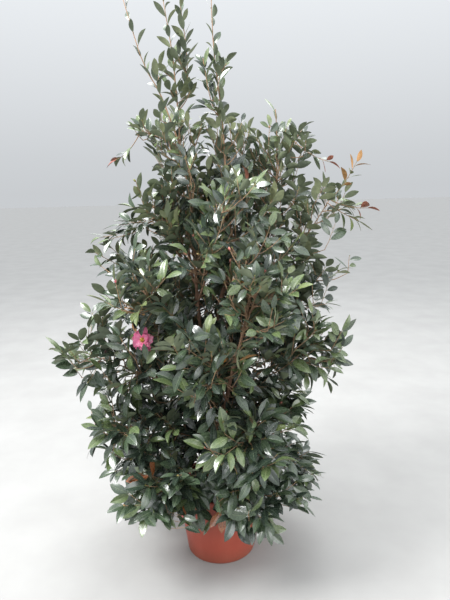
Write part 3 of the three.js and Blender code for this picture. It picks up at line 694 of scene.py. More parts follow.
def thin_leaves(leaves):
    """Leaves inside their mass's reach and clear of the pot, the limbs and each other."""
    roots = np.array([leaf.root for leaf in leaves])
    directions = np.array([leaf.direction for leaf in leaves])
    lengths = np.array([leaf.length for leaf in leaves])[:, None]
    tips = roots + directions * lengths
    middles = roots + directions * lengths * 0.5
    hanging = np.array([leaf.over_pot for leaf in leaves])
    keep = (above_pot(tips) & above_pot(middles)) | (hanging & off_pot(tips) & off_pot(middles))
    keep &= room.clear(middles, CLEAR_OF_LIMBS.middle) & room.clear(tips, CLEAR_OF_LIMBS.tip)
    keep &= ~hides_stems(middles)
    bloom = vector(BLOOM.at)
    sight = np.array([bloom]), np.array([bloom + unit(vector(BLOOM.facing)) * BLOOM.sight])
    for places in (middles, tips):
        keep &= segment_distances(places, *sight)[:, 0] > BLOOM.radius
    low, high = (np.array([reaches[leaf.index][side] for leaf in leaves]) for side in (0, 1))
    keep &= ((tips > low) & (tips < high)).all(1)
    taken, kept = {}, []
    for i in np.nonzero(keep)[0]:
        x, y, z = (int(c) for c in middles[i] // LEAF_ROOM)
        near = [
            other for dx in (-1, 0, 1) for dy in (-1, 0, 1) for dz in (-1, 0, 1)
            for other in taken.get((x + dx, y + dy, z + dz), ())
        ]
        if all(np.linalg.norm(middles[other] - middles[i]) > LEAF_ROOM for other in near):
            taken.setdefault((x, y, z), []).append(i)
            kept.append(leaves[i])
    return kept


# Meshes
def new_piece(name, vertices, faces, materials, nodes, face_materials=None, uvs=None, smooth=True):
    """A mesh object from points in millimetres and faces of three or four corners, in place of CAD nodes."""
    mesh = bpy.data.meshes.new(name)
    sizes = np.array([len(face) for face in faces])
    corners = np.concatenate([np.asarray(face) for face in faces])
    mesh.vertices.add(len(vertices))
    mesh.vertices.foreach_set("co", (np.asarray(vertices) * MM).astype(np.float32).ravel())
    mesh.loops.add(len(corners))
    mesh.loops.foreach_set("vertex_index", corners.astype(np.int32))
    mesh.polygons.add(len(sizes))
    mesh.polygons.foreach_set("loop_start", np.concatenate([[0], np.cumsum(sizes)[:-1]]).astype(np.int32))
    for material in materials:
        mesh.materials.append(material)
    if face_materials is not None:
        mesh.polygons.foreach_set("material_index", np.asarray(face_materials, np.int32))
    mesh.polygons.foreach_set("use_smooth", np.full(len(sizes), smooth))
    if uvs is not None:
        layer = mesh.uv_layers.new(name="UVMap")
        layer.data.foreach_set("uv", np.asarray(uvs)[corners].astype(np.float32).ravel())
    mesh.update(calc_edges=True)
    mesh.validate()
    piece = bpy.data.objects.new(name, mesh)
    bpy.context.scene.collection.objects.link(piece)
    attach(piece, "root")
    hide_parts(*nodes)


def tube_rings(path, radii, sides, relief=None):
    """Rings of points round a path, kept from twisting."""
    last = len(path) - 1
    across = None
    rings = []
    angles = 2 * math.pi * np.arange(sides) / sides
    for i, point in enumerate(path):
        tangent = unit(path[min(i + 1, last)] - path[max(i - 1, 0)])
        across = sideways(tangent) if across is None else square_to(across, tangent)
        over = cross(tangent, across)
        radius = radii[i] if relief is None else radii[i] + relief(i, angles)
        spokes = across * np.cos(angles)[:, None] + over * np.sin(angles)[:, None]
        rings.append(point + spokes * np.broadcast_to(radius, sides)[:, None])
    return np.array(rings)


class Tubes:
    """Many tubes joined into one mesh."""

    def __init__(self):
        self.vertices, self.quads, self.caps, self.count = [], [], [], 0

    def add(self, path, radii, sides, relief=None, closed=True):
        self.vertices.append(tube_rings(path, radii, sides, relief).reshape(-1, 3))
        ring = np.arange(sides)
        after = (ring + 1) % sides
        first = self.count
        for base in first + sides * np.arange(len(path) - 1):
            over = base + sides
            self.quads.append(np.stack([base + ring, base + after, over + after, over + ring], 1))
        self.count += len(path) * sides
        if not closed:
            return
        last = self.count - sides
        end = path[-1] + unit(path[-1] - path[-2]) * radii[-1] * 0.6
        self.vertices.append(np.array([end, path[0]]))
        self.caps.append(np.stack([last + ring, last + after, np.full(sides, self.count)], 1))
        self.caps.append(np.stack([first + after, first + ring, np.full(sides, self.count + 1)], 1))
        self.count += 2

    def piece(self, name, material, slot, nodes):
        faces = [face for part in (*self.quads, *self.caps) for face in part]
        new_piece(name, np.vstack(self.vertices), faces, [material], nodes)


# Blades: columns of points across the upper side, with a narrow midrib between the middle two, and across
# the lower side
STATIONS = np.array([0.07, 0.2, 0.38, 0.58, 0.77, 0.92])
UPPER = np.array([-1, -0.5, -0.06, 0.06, 0.5, 1])
LOWER = np.array([-1, 0, 1])
MIDRIB_COLUMN = 2
LARGEST_PIECE = 2300


def grid_faces(rows, columns, start, flip=False):
    """Faces of a grid of points, row by row."""
    faces = []
    for i in range(rows - 1):
        for k in range(columns - 1):
            a = start + i * columns + k
            face = [a, a + columns, a + columns + 1, a + 1]
            faces.append(face[::-1] if flip else face)
    return faces


def sheet_faces(columns, stations, start, flip):
    """One side of a blade: its rows, then a fan of faces at its root and one at its tip."""
    root = start + columns * stations
    top = root - columns
    fans = []
    for k in range(columns - 1):
        fans += [[root, start + k, start + k + 1], [root + 1, top + k + 1, top + k]]
    return grid_faces(stations, columns, start, flip), [face[::-1] for face in fans] if flip else fans


def blade_points(leaves):
    """The points of every blade, in the same order for each."""
    def column(key):
        return np.array([getattr(leaf, key) for leaf in leaves], float)

    length, bend, fold = column("length"), column("bend"), column("fold")
    half = length * column("ratio") / 2
    direction, normal = column("direction"), column("normal")
    across = np.cross(normal, direction)
    start = column("root") + direction * BLADE.petiole

    def place(u, v, drop):
        width = half * (4 * u * (1 - u)) ** (0.7 + 0.3 * u) if 0 < u < 1 else half * 0
        turn = column("twist") * (u - 0.3)
        side = width * v
        lift = width * (fold * abs(v) - BLADE.recurve * v * v) - drop
        x = np.sin(bend * u) / bend * length
        z = -(1 - np.cos(bend * u)) / bend * length + lift * np.cos(turn) + side * np.sin(turn)
        y = side * np.cos(turn) - lift * np.sin(turn) + column("sweep") * length * u * u
        return start + direction * x[:, None] + across * y[:, None] + normal * z[:, None]

    points, uvs = [], []
    for columns, thick in ((UPPER, 0), (LOWER, BLADE.thickness)):
        for u in STATIONS:
            for v in columns:
                points.append(place(u, v, thick * (1 - abs(v))))
                uvs.append((u, 0.5 + 0.5 * v))
        for u in (0, 1):
            points.append(place(u, 0, 0))
            uvs.append((u, 0.5))
    return np.stack(points, 1), np.array(uvs)


def leaf_piece(name, leaves, materials):
    """Blades with three materials: the upper side, the lower side and the midrib."""
    points, uvs = blade_points(leaves)
    upper = sheet_faces(len(UPPER), len(STATIONS), 0, False)
    lower = sheet_faces(len(LOWER), len(STATIONS), len(UPPER) * len(STATIONS) + 2, True)
    offsets = np.arange(len(leaves))[:, None, None] * points.shape[1]
    faces, slots = [], []
    for above, below, repeat in zip(upper, lower, (1, 2)):
        corners = np.array(above + below)
        faces += list((corners[None] + offsets).reshape(-1, corners.shape[1]))
        column = np.arange(len(above)) // repeat % (len(UPPER) - 1)
        slot = [*np.where(column == MIDRIB_COLUMN, 2, 0), *[1] * len(below)]
        slots.append(np.tile(slot, len(leaves)))
    uvs = np.tile(uvs, (len(leaves), 1))
    slots = np.concatenate(slots)
    new_piece(name, points.reshape(-1, 3), faces, materials, mass_names, slots, uvs)


# Materials
class Nodes:
    """A material with a Principled shader, and short calls that add nodes to it."""

    def __init__(self, name, roughness, **sockets):
        self.material = bpy.data.materials.new(name)
        self.material.use_nodes = True
        self.tree = self.material.node_tree
        self.shader = self.tree.nodes["Principled BSDF"]
        self.shader.inputs["Roughness"].default_value = roughness
        for key, value in sockets.items():
            self.shader.inputs[key.replace("_", " ")].default_value = value

    def set(self, node, key, value):
        socket = node.inputs[int(key)] if key.isdigit() else node.inputs[key]
        if isinstance(value, bpy.types.NodeSocket):
            self.tree.links.new(value, socket)
        else:
            socket.default_value = value

    def add(self, kind, **inputs):
        node = self.tree.nodes.new(kind)
        for key, value in inputs.items():
            self.set(node, key.replace("_", " "), value)
        return node

    def math(self, operation, a, b=0.0, c=0.0):
        node = self.tree.nodes.new("ShaderNodeMath")
        node.operation = operation
        for i, value in enumerate((a, b, c)):
            self.set(node, str(i), value)
        return node.outputs[0]

    def times(self, a, b):
        return self.math("MULTIPLY", a, b)

    def coordinates(self, kind="Object", scale=(1, 1, 1)):
        place = self.tree.nodes.new("ShaderNodeTexCoord")
        return self.add("ShaderNodeMapping", Vector=place.outputs[kind], Scale=scale).outputs[0]

    def noise(self, place, scale, detail=4.0, roughness=0.55):
        node = self.add("ShaderNodeTexNoise", Vector=place, Scale=scale, Detail=detail, Roughness=roughness)
        return node.outputs[0]

    def ramp(self, factor, *stops):
        """A colour ramp from stops of a place and a colour from 0 to 255."""
        node = self.add("ShaderNodeValToRGB", Fac=factor)
        fill_ramp(node, [(place, linear(*colour)) for place, colour in stops])
        return node.outputs[0]

    def mix(self, factor, a, colour):
        node = self.tree.nodes.new("ShaderNodeMix")
        node.data_type = "RGBA"
        for key, value in (("0", factor), ("6", a), ("7", (*linear(*colour), 1))):
            self.set(node, key, value)
        return node.outputs[2]

    def bump(self, height, strength, distance):
        return self.add("ShaderNodeBump", Height=height, Strength=strength, Distance=distance).outputs[0]

    def finish(self, **links):
        for key, value in links.items():
            self.set(self.shader, key.replace("_", " "), value)
        return self.material


def fill_ramp(node, stops):
    elements = node.color_ramp.elements
    while len(elements) < len(stops):
        elements.new(0.5)
    for element, (place, colour) in zip(elements, stops):
        element.position = place
        element.color = (*colour, 1)


def linear(*colour):
    """A colour from 0 to 255 as the shader takes it."""
    shares = (value / 255 for value in colour)
    return tuple(s / 12.92 if s <= 0.04045 else ((s + 0.055) / 1.055) ** 2.4 for s in shares)


# Upper side, its second shade, and under side of the leaves of each kind, from 0 to 255
LEAF_COLOURS = {
    "deep": ((50, 63, 50), (39, 51, 43), (104, 115, 94)),
    "mid": ((68, 84, 61), (55, 70, 53), (118, 128, 102)),
    "light": ((99, 115, 73), (80, 96, 61), (138, 146, 112)),
    "fresh": ((116, 128, 80), (94, 108, 66), (144, 150, 112)),
    "amber": ((186, 126, 62), (150, 112, 58), (180, 136, 88)),
    "red": ((162, 78, 58), (130, 66, 50), (160, 102, 84)),
    "dead": ((170, 104, 60), (132, 78, 48), (160, 110, 76)),
}


def plain_material(name, first, second, roughness, scale):
    """A mottled surface with a fine grain, for midribs, stalks, buds, crumbs and the floor."""
    nodes = Nodes(name, roughness)
    mottle = nodes.noise(nodes.coordinates(), scale, 4)
    colour = nodes.ramp(mottle, (0.35, first), (0.65, second))
    return nodes.finish(Base_Color=colour, Normal=nodes.bump(mottle, 0.15, 0.001))


def leaf_material(name, first, second, roughness, veins, shine):
    """Leathery leaf: mottled colour, and side veins in low relief."""
    nodes = Nodes(name, roughness, Specular_IOR_Level=shine)
    place = nodes.coordinates()
    colour = nodes.ramp(nodes.noise(place, 55, 3), (0.35, second), (0.65, first))
    uv = nodes.add("ShaderNodeSeparateXYZ", Vector=nodes.coordinates("UV"))
    across = nodes.math("ABSOLUTE", nodes.math("SUBTRACT", uv.outputs[1], 0.5))
    slant = nodes.math("SUBTRACT", nodes.times(uv.outputs[0], 60), nodes.times(across, 45))
    bump = nodes.bump(nodes.times(nodes.math("SINE", slant), veins), 0.35, 0.0006)
    gloss = nodes.math("MULTIPLY_ADD", nodes.noise(place, 140, 2), 0.16, roughness - 0.08)
    return nodes.finish(Base_Color=colour, Normal=bump, Roughness=gloss)


def leaf_materials(kind):
    upper, shade, under = LEAF_COLOURS[kind]
    darker = tuple(c * 0.86 for c in under)
    rib = tuple(0.45 * a + 0.55 * b for a, b in zip(upper, under))
    return [
        leaf_material(f"leaf_{kind}_upper", upper, shade, 0.28, 0.08, 1.0),
        leaf_material(f"leaf_{kind}_under", under, darker, 0.55, 0.2, 0.5),
        plain_material(f"leaf_{kind}_midrib", rib, tuple(c * 1.08 for c in rib), 0.4, 60),
    ]


def bark_material(name, first, second, scale):
    """Smooth thin bark: long streaks, pale lenticels and a fine grain."""
    nodes = Nodes(name, 0.72, Specular_IOR_Level=0.35)
    streaks = nodes.noise(nodes.coordinates(scale=(scale, scale, scale * 0.12)), 1.0, 6, 0.6)
    patches = nodes.noise(nodes.coordinates(), 24, 3)
    colour = nodes.ramp(streaks, (0.3, second), (0.7, first))
    colour = nodes.mix(nodes.times(patches, 0.32), colour, (150, 138, 124))
    spots = nodes.add("ShaderNodeTexVoronoi", Vector=nodes.coordinates(scale=(1, 1, 2.4)), Scale=260)
    lenticels = nodes.math("LESS_THAN", spots.outputs["Distance"], 0.16)
    colour = nodes.mix(nodes.times(lenticels, 0.5), colour, (188, 160, 134))
    height = nodes.math("ADD", streaks, nodes.times(lenticels, 0.4))
    return nodes.finish(Base_Color=colour, Normal=nodes.bump(height, 0.5, 0.0008))


def pot_material():
    """Moulded plastic in a terracotta colour, a little faded and dusty towards its foot."""
    nodes = Nodes("pot_plastic", 0.42, Specular_IOR_Level=0.45)
    place = nodes.coordinates()
    colour = nodes.ramp(nodes.noise(place, 7, 5), (0.3, (160, 70, 54)), (0.7, (176, 80, 62)))
    runs = nodes.noise(nodes.coordinates(scale=(26, 26, 2.2)), 1.0, 5, 0.6)
    faded = nodes.times(nodes.math("SMOOTH_MIN", nodes.times(runs, runs), 1, 0.2), 0.35)
    colour = nodes.mix(faded, colour, (184, 106, 86))
    height = nodes.add("ShaderNodeSeparateXYZ", Vector=place).outputs[2]
    low = nodes.math("SUBTRACT", 1, nodes.math("SMOOTH_MIN", nodes.times(height, 14), 1, 0.4))
    dirt = nodes.times(low, nodes.times(nodes.noise(place, 90, 6, 0.7), 0.8))
    colour = nodes.mix(dirt, colour, (120, 84, 64))
    scuffs = nodes.noise(nodes.coordinates(scale=(1, 1, 6)), 60, 6, 0.65)
    gloss = nodes.math("MULTIPLY_ADD", scuffs, 0.3, 0.3)
    bump = nodes.bump(nodes.noise(place, 320, 3), 0.12, 0.0004)
    return nodes.finish(Base_Color=colour, Roughness=gloss, Normal=bump)


def soil_material():
    nodes = Nodes("soil_compost", 0.95, Specular_IOR_Level=0.2)
    crumbs = nodes.noise(nodes.coordinates(), 160, 8, 0.7)
    colour = nodes.ramp(crumbs, (0.25, (28, 20, 15)), (0.55, (62, 46, 35)), (0.8, (104, 80, 60)))
    return nodes.finish(Base_Color=colour, Normal=nodes.bump(crumbs, 0.9, 0.004))


def petal_material():
    """Pink, paler in streaks."""
    nodes = Nodes("petal_pink", 0.48, Specular_IOR_Level=0.35)
    place = nodes.coordinates()
    streaks = nodes.noise(place, 70, 5, 0.6)
    colour = nodes.ramp(streaks, (0.3, (228, 88, 142)), (0.55, (242, 140, 178)), (0.8, (252, 206, 220)))
    return nodes.finish(Base_Color=colour, Normal=nodes.bump(nodes.noise(place, 240, 3), 0.2, 0.0008))


# Wood
COLLAR = Values(rise=0.45, length=14)
RELIEF = Values(
    waves=7, rings=60, ring_least=26, ring_more=22, ring_width=3.2, ridge=0.22, ring=0.55, least=0.3,
)


def bark_relief(path, seed):
    """Shallow ridges along a limb and low rings where leaves once stood."""
    draw = stream(seed)
    waves = [
        (round(2 + 7 * draw()), 0.01 + 0.05 * draw(), 6.3 * draw(), 0.35 + 0.5 * draw())
        for _ in range(RELIEF.waves)
    ]
    lengths = np.concatenate([[0], np.cumsum(piece_lengths(path))])
    rings = np.cumsum([RELIEF.ring_least + RELIEF.ring_more * draw() for _ in range(RELIEF.rings)])

    def relief(i, angles):
        s = lengths[i]
        ridges = sum(
            size * np.sin(count * angles + pitch * s + phase) for count, pitch, phase, size in waves
        )
        ring = np.exp(-((s - rings[np.argmin(abs(rings - s))]) / RELIEF.ring_width) ** 2)
        return ridges * RELIEF.ridge + ring * RELIEF.ring

    return relief


def limb_piece(name, limbs, material, sides, step):
    tubes = Tubes()
    for number, limb in enumerate(limbs):
        length = piece_lengths(limb.path).sum()
        count = max(8, round(length / step))
        path = smooth_path(limb.path, count)
        radii = np.interp(np.linspace(0, 1, count + 1), np.linspace(0, 1, len(limb.radii)), limb.radii)
        collar = 0.0 if limb.name == "trunk" else COLLAR.rise
        radii = radii * (1 + collar * np.exp(-np.linspace(0, length, count + 1) / COLLAR.length))
        relief = bark_relief(path, SEEDS.limb_step + SEEDS.bark_step * number)
        scale = max(radii[-1] / STEM.radius, RELIEF.least)
        tubes.add(path, radii, sides, lambda i, angles: relief(i, angles) * scale)
    tubes.piece(name, material, "bark", [limb.name for limb in limbs])


# Pot and soil
def lathe(profile, sides):
    """Points and faces of a closed profile of radii and heights turned round the upright axis."""
    angles = 2 * math.pi * np.arange(sides) / sides
    ring = np.stack([np.cos(angles), np.sin(angles)], 1)
    inner = profile[1:-1]
    points = [np.array([[0, 0, profile[0][1]]])]
    points += [np.column_stack([ring * radius, np.full(sides, height)]) for radius, height in inner]
    points.append(np.array([[0, 0, profile[-1][1]]]))
    pairs = [(a, (a + 1) % sides) for a in range(sides)]
    faces = [[0, 1 + b, 1 + a] for a, b in pairs]
    for i in range(len(inner) - 1):
        low, high = 1 + i * sides, 1 + (i + 1) * sides
        faces += [[low + a, low + b, high + b, high + a] for a, b in pairs]
    last = 1 + (len(inner) - 1) * sides
    faces += [[last + a, last + b, last + sides] for a, b in pairs]
    return np.vstack(points), faces


def rounded(radius, height, size, start, end, steps=5):
    """A turn round a corner of a profile, from one angle to another."""
    turns = np.radians(np.linspace(start, end, steps))
    return [(radius + size * math.cos(turn), height + size * math.sin(turn)) for turn in turns]


def pot_radius(height):
    return POT.foot + (POT.rim - POT.lip_out - POT.foot) * height / POT.height


def pot_piece(material):
    """A moulded pot with a hollow foot, a rolled lip and a thin wall."""
    height, wall, rim = POT.height, POT.wall, POT.rim
    under_lip = height - POT.lip_height
    hollow = 1.6
    foot = pot_radius(0) - POT.chamfer
    edge = POT.chamfer + 0.2
    profile = [(0, hollow), (foot - 14, hollow), (foot - 11, hollow - 0.5), (foot - 9, 0), (foot - 1, 0)]
    profile += rounded(foot - 0.5, edge, edge, -84, -6)
    profile += [(pot_radius(z), z) for z in (9, 30, 60, 100, 140, 180, 220, 255, under_lip - 3)]
    profile += [(pot_radius(under_lip) + 0.4, under_lip - 1)]
    profile += rounded(rim - 1.6, under_lip + 1.8, 1.6, -80, 0)
    profile += rounded(rim - 2.2, height - 2.2, 2.2, 0, 90)
    profile += rounded(pot_radius(height) - wall + 1.5, height - 1.5, 1.5, 90, 180)
    profile += [(pot_radius(z) - wall, z) for z in (height - 20, SOIL_TOP, 200, 100, wall + 1)]
    profile += [(pot_radius(0) - wall - 2, wall), (0, wall)]
    points, faces = lathe(profile, 128)
    new_piece("pot_shell", points, faces, [material], ["pot"])


SOIL = Values(rings=34, sides=110, lump=4.5, low=3.5, gap=0.4, crumbs=420, least=2.0, most=7.0, reach=166)


def soil_height(x, y):
    """A lumpy surface that rises a little towards the trunk and falls at the wall."""
    radius = np.hypot(x, y)
    lumps = (
        np.sin(x * 0.071 + 1.3) * np.cos(y * 0.064 - 0.4) + 0.6 * np.sin(x * 0.16 + y * 0.11)
        + 0.4 * np.cos(x * 0.31 - y * 0.27 + 2) + 0.25 * np.sin(x * 0.62 + y * 0.71)
    )
    rise, fall = 9 * np.exp(-((radius / 55) ** 2)), 4 * (radius / 172) ** 6
    return SOIL_TOP - 4 + SOIL.lump * 0.5 * lumps + rise - fall


def soil_piece(material):
    outer = pot_radius(SOIL_TOP) - POT.wall - SOIL.gap - 1.5
    foot = pot_radius(SOIL.low) - POT.wall - SOIL.gap - 1
    radii = np.linspace(0, outer, SOIL.rings)
    profile = [(0, SOIL.low), (foot, SOIL.low), (outer, SOIL_TOP - 12)]
    profile += [(radius, 0) for radius in radii[:0:-1]] + [(0, 0)]
    points, faces = lathe(profile, SOIL.sides)
    top = points[:, 2] == 0
    points[top, 2] = soil_height(points[top, 0], points[top, 1])
    new_piece("soil_surface", points, faces, [material], ["soil"])


def crumb_piece(material):
    """Crumbs of bark and compost that lie on the soil."""
    draw = stream(SEEDS.crumbs)
    corners = vector([(1, 0, 0), (-1, 0, 0), (0, 1, 0), (0, -1, 0), (0, 0, 1), (0, 0, -1)])
    sides = np.array([
        (0, 2, 4), (2, 1, 4), (1, 3, 4), (3, 0, 4), (2, 0, 5), (1, 2, 5), (3, 1, 5), (0, 3, 5),
    ])
    points, faces = [], []
    for number in range(SOIL.crumbs):
        radius = SOIL.reach * math.sqrt(draw())
        turn = 2 * math.pi * draw()
        x, y = radius * math.cos(turn), radius * math.sin(turn)
        size = SOIL.least + (SOIL.most - SOIL.least) * draw() ** 2
        spin = 2 * math.pi * draw()
        shape = corners * np.array([size, size * (0.4 + 0.5 * draw()), size * (0.3 + 0.4 * draw())])
        shape = shape * (0.75 + 0.5 * np.array([draw() for _ in range(6)]))[:, None]
        tilt = (draw() - 0.5) * 0.9
        turned = np.column_stack([
            shape[:, 0] * math.cos(spin) - shape[:, 1] * math.sin(spin),
            shape[:, 0] * math.sin(spin) + shape[:, 1] * math.cos(spin),
            shape[:, 2] + shape[:, 0] * tilt,
        ])
        points.append(turned + np.array([x, y, soil_height(x, y) + size * 0.15]))
        faces.append(sides + 6 * number)
    new_piece(
        "soil_crumbs", np.vstack(points), np.vstack(faces), [material], ["soil"], smooth=False,
    )


# Blossom and buds
PETALS = table("count start end length width turn", (5, 42, 84, 50, 42, 0.2), (4, 24, 62, 41, 34, 0.8))
PETAL_GRID = Values(along=12, across=11, thickness=0.5)
STAMENS = Values(count=70, length=15, spread=36, radius=0.35, anther=1.1)
BUDS = Values(share=0.34, pink=0.06, length=8, radius=2.3, flower=1.7)
FALLEN = Values(count=16, nearest=70, more=80, length=56, least=62, within=160)


def petal_points(petal, end, length, turn, axis, thick, wave):
    """A grid of points over a notched petal that opens out from the heart."""
    side, other = sideways(axis), cross(sideways(axis), axis)
    out = side * math.cos(turn) + other * math.sin(turn)
    across = cross(axis, out)
    rows = []
    for u in np.linspace(0.03, 1, PETAL_GRID.along):
        lean = math.radians(petal.start + (end - petal.start) * u)
        half = petal.width / 2 * math.sin(math.pi * (0.1 + 0.76 * u**1.1)) ** 0.8
        for v in np.linspace(-1, 1, PETAL_GRID.across):
            notch = 1 - 0.12 * math.exp(-((v / 0.3) ** 2)) * u**5 - 0.1 * u**3 * v * v
            along = length * u * notch
            cup = half * 0.28 * v * v
            ripple = 1.8 * u * u * math.sin(5 * v + wave) * abs(v)
            rise = cup + ripple - thick * (1 - v * v)
            up = along * math.cos(lean) + rise * math.sin(lean)
            away = along * math.sin(lean) - rise * math.cos(lean)
            rows.append(axis * up + out * away + across * half * v)
    return np.array(rows)


def blossom():
    """The one open bloom, on a short stalk from the shoot behind it."""
    at, axis = vector(BLOOM.at), unit(vector(BLOOM.facing))
    draw = stream(SEEDS.bloom)
    points, faces, count = [], [], 0
    for petal in PETALS:
        for i in range(petal.count):
            length = petal.length * (0.9 + 0.2 * draw())
            end = petal.end + 16 * (draw() - 0.5)
            turn = petal.turn + 2 * math.pi * (i + 0.25 * draw()) / petal.count
            wave = 6 * draw()
            for flip, thick in ((False, 0), (True, PETAL_GRID.thickness)):
                points.append(at + petal_points(petal, end, length, turn, axis, thick, wave))
                faces += grid_faces(PETAL_GRID.along, PETAL_GRID.across, count, flip)
                count += PETAL_GRID.along * PETAL_GRID.across
    nodes = [BLOOM.mass]
    new_piece("blossom_petals", np.vstack(points), faces, [petal_material()], nodes)
    heart = Tubes()
    for i in range(STAMENS.count):
        lean = STAMENS.spread * math.sqrt((i + 0.5) / STAMENS.count)
        heading = between(axis, around(axis, i * GOLDEN_ANGLE), lean)
        tip = at + heading * STAMENS.length * (0.8 + 0.3 * draw())
        heart.add(np.array([at, (at + tip) / 2 + axis * 0.6, tip]), [STAMENS.radius] * 3, 3)
        anther = np.array([tip - heading * 0.3, tip + heading * 0.5, tip + heading * 1.6])
        heart.add(anther, [0.4, STAMENS.anther, 0.5], 5)
    yellow = plain_material("stamen_yellow", (226, 190, 78), (240, 214, 120), 0.6, 80)
    heart.piece("blossom_stamens", yellow, "leaves", nodes)
    shoot = masses[mass_names.index(BLOOM.mass)].shoots[0].path
    foot = min(smooth_path(shoot, 30), key=lambda place: np.linalg.norm(place - at))
    base = at - axis * 7
    stalk = smooth_path([foot, (foot + base) / 2 - axis * 6 + UP * 4, base], 8)
    stem = Tubes()
    stem.add(stalk, np.linspace(1.9, 1.5, len(stalk)), 6)
    calyx = np.array([base - axis * 3, base, base + axis * 4, base + axis * 8])
    stem.add(calyx, [1.6, 4.6, 5.4, 3.0], 10)
    green = plain_material("calyx_green", (96, 110, 62), (122, 124, 74), 0.5, 60)
    stem.piece("blossom_stalk", green, "leaves", nodes)


def bud_pieces():
    """Leaf buds at the tips of sprays, with a few fat flower buds among them."""
    green, pink = Tubes(), Tubes()
    for place, heading, draw in growth.tips:
        if not above_pot(place[None]).all() or draw > BUDS.share:
            continue
        flower = draw < BUDS.pink
        size = BUDS.flower if flower else 0.75 + draw
        length, radius = BUDS.length * size, BUDS.radius * size
        lean = unit(heading + sideways(heading) * 0.5)
        path = np.array([place + lean * length * t for t in (0, 0.25, 0.55, 0.85, 1)])
        radii = radius * np.array([0.45, 0.9, 1, 0.5, 0.12])
        (pink if flower else green).add(path, radii, 7 if flower else 5)
    bud_green = plain_material("bud_green", (134, 138, 74), (112, 104, 62), 0.5, 90)
    green.piece("buds_leaf", bud_green, "leaves", mass_names)
    bud_pink = plain_material("bud_pink", (128, 138, 76), (190, 92, 104), 0.45, 40)
    pink.piece("buds_flower", bud_pink, "leaves", mass_names)


def bloom_leaves():
    leaves = []
    for leaf in BLOOM_LEAVES:
        heading = unit(vector(leaf.heading))
        leaves.append(Values(
            root=vector(BLOOM.at) + np.array(leaf.root), direction=heading,
            normal=square_to(vector(BLOOM.facing), heading), length=leaf.length, ratio=0.4, bend=0.3,
            fold=0.4, sweep=0.08, twist=0.1, kind=leaf.kind,
        ))
    return leaves


def fallen_leaves():
    """Dry leaves on the soil."""
    draw = stream(SEEDS.fallen)
    leaves = []
    for _ in range(FALLEN.count):
        radius, turn = FALLEN.nearest + FALLEN.more * draw(), 2 * math.pi * draw()
        x, y = radius * math.cos(turn), radius * math.sin(turn)
        heading = unit(np.array([math.cos(turn * 3 + 5 * draw()), math.sin(turn * 3 + 5 * draw()), 0.05]))
        root = np.array([x, y, float(soil_height(x, y)) + 6]) - heading * 30
        ends = root, root + heading * FALLEN.least
        if all(np.hypot(*end[:2]) < FALLEN.within for end in ends):
            leaves.append(Values(
                root=root, direction=heading, normal=square_to(UP + heading * 0.2, heading),
                length=FALLEN.length, ratio=0.42, bend=0.5, fold=0.4, sweep=0.1, twist=(draw() - 0.5),
                kind="dead",
            ))
    return leaves


# Growing the plant
INNER_SPACING = Values(carriers=42, boughs=60, leaders=34)
carriers, boughs, masses = grow_limbs()
mass_names = [mass.name for mass in masses]
room = Room([*carriers, *boughs], masses)
WHOLE_CROWN = len(masses)
boxes = [[np.array(corner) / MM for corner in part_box(name)] for name in mass_names]
boxes.append([np.min([low for low, _ in boxes], 0), np.max([high for _, high in boxes], 0)])
reaches = [(low - SPRAY.reach, high + SPRAY.reach) for low, high in boxes]
growth = Values(twigs=[], leaves=[], tips=[])
for index, mass in enumerate(masses):
    grow_mass(mass, index)
inner_paths = [(limb.path, INNER_SPACING.carriers) for limb in carriers]
inner_paths += [(limb.path, INNER_SPACING.boughs) for limb in boughs]
inner_paths += [(mass.shoots[0].path, INNER_SPACING.leaders) for mass in masses if mass.leader]
for number, (path, spacing) in enumerate(inner_paths):
    grow_inner(path, number, spacing)
shoot_limbs = [*carriers, *boughs, *(shoot for mass in masses for shoot in mass.shoots)]
draw_shown = stream(SEEDS.shown)
for number, row in enumerate(SHOWN_SHOOTS):
    grow_shown(row, number, shoot_limbs, draw_shown)
leaves = thin_leaves(growth.leaves[::-1])
for spot in TURNED:
    ranked = sorted(leaves, key=lambda leaf: np.linalg.norm(leaf.root - np.array(spot.at)))
    for leaf in ranked[:spot.count]:
        leaf.kind = spot.kind
leaves += fallen_leaves() + bloom_leaves()

bark = bark_material("bark_old", (178, 136, 110), (126, 90, 74), 90)
twig_bark = bark_material("bark_young", (168, 134, 102), (130, 100, 76), 160)
limb_piece("bark_trunk", carriers[:1], bark, 28, 3.5)
limb_piece("bark_stems", carriers[1:], bark, 18, 4.5)
limb_piece("bark_boughs", boughs, bark, 12, 7)

for kind in LEAF_COLOURS:
    chosen = [leaf for leaf in leaves if leaf.kind == kind]
    materials = leaf_materials(kind)
    parts = math.ceil(len(chosen) / LARGEST_PIECE)
    for part in range(parts):
        leaf_piece(f"leaves_{kind}_{part + 1}", chosen[part::parts], materials)

twig_tubes, petiole_tubes = Tubes(), Tubes()
for path, radii, sides in growth.twigs:
    twig_tubes.add(path, radii, sides)
twig_tubes.piece("twigs", twig_bark, "bark", mass_names)
for leaf in leaves:
    ends = np.array([leaf.root, leaf.root + leaf.direction * (BLADE.petiole + 3)])
    petiole_tubes.add(ends, [1.0, 0.7], 4, closed=False)
petiole_green = plain_material("petiole_green", (104, 112, 58), (128, 104, 60), 0.5, 60)
petiole_tubes.piece("petioles", petiole_green, "leaves", mass_names)

bud_pieces()
blossom()
pot_piece(pot_material())
soil_piece(soil_material())
crumb_piece(plain_material("crumb_bark", (58, 42, 30), (112, 84, 60), 0.9, 70))

# Floor, light and camera
FLOOR_SIZE = 120
SKY = ((0.0, 0.34), (0.06, 0.36), (0.3, 0.48), (0.6, 0.9), (1.0, 1.0))
SKY_TINT = (0.93, 0.965, 1.0)
SKY_STRENGTH = 1.85
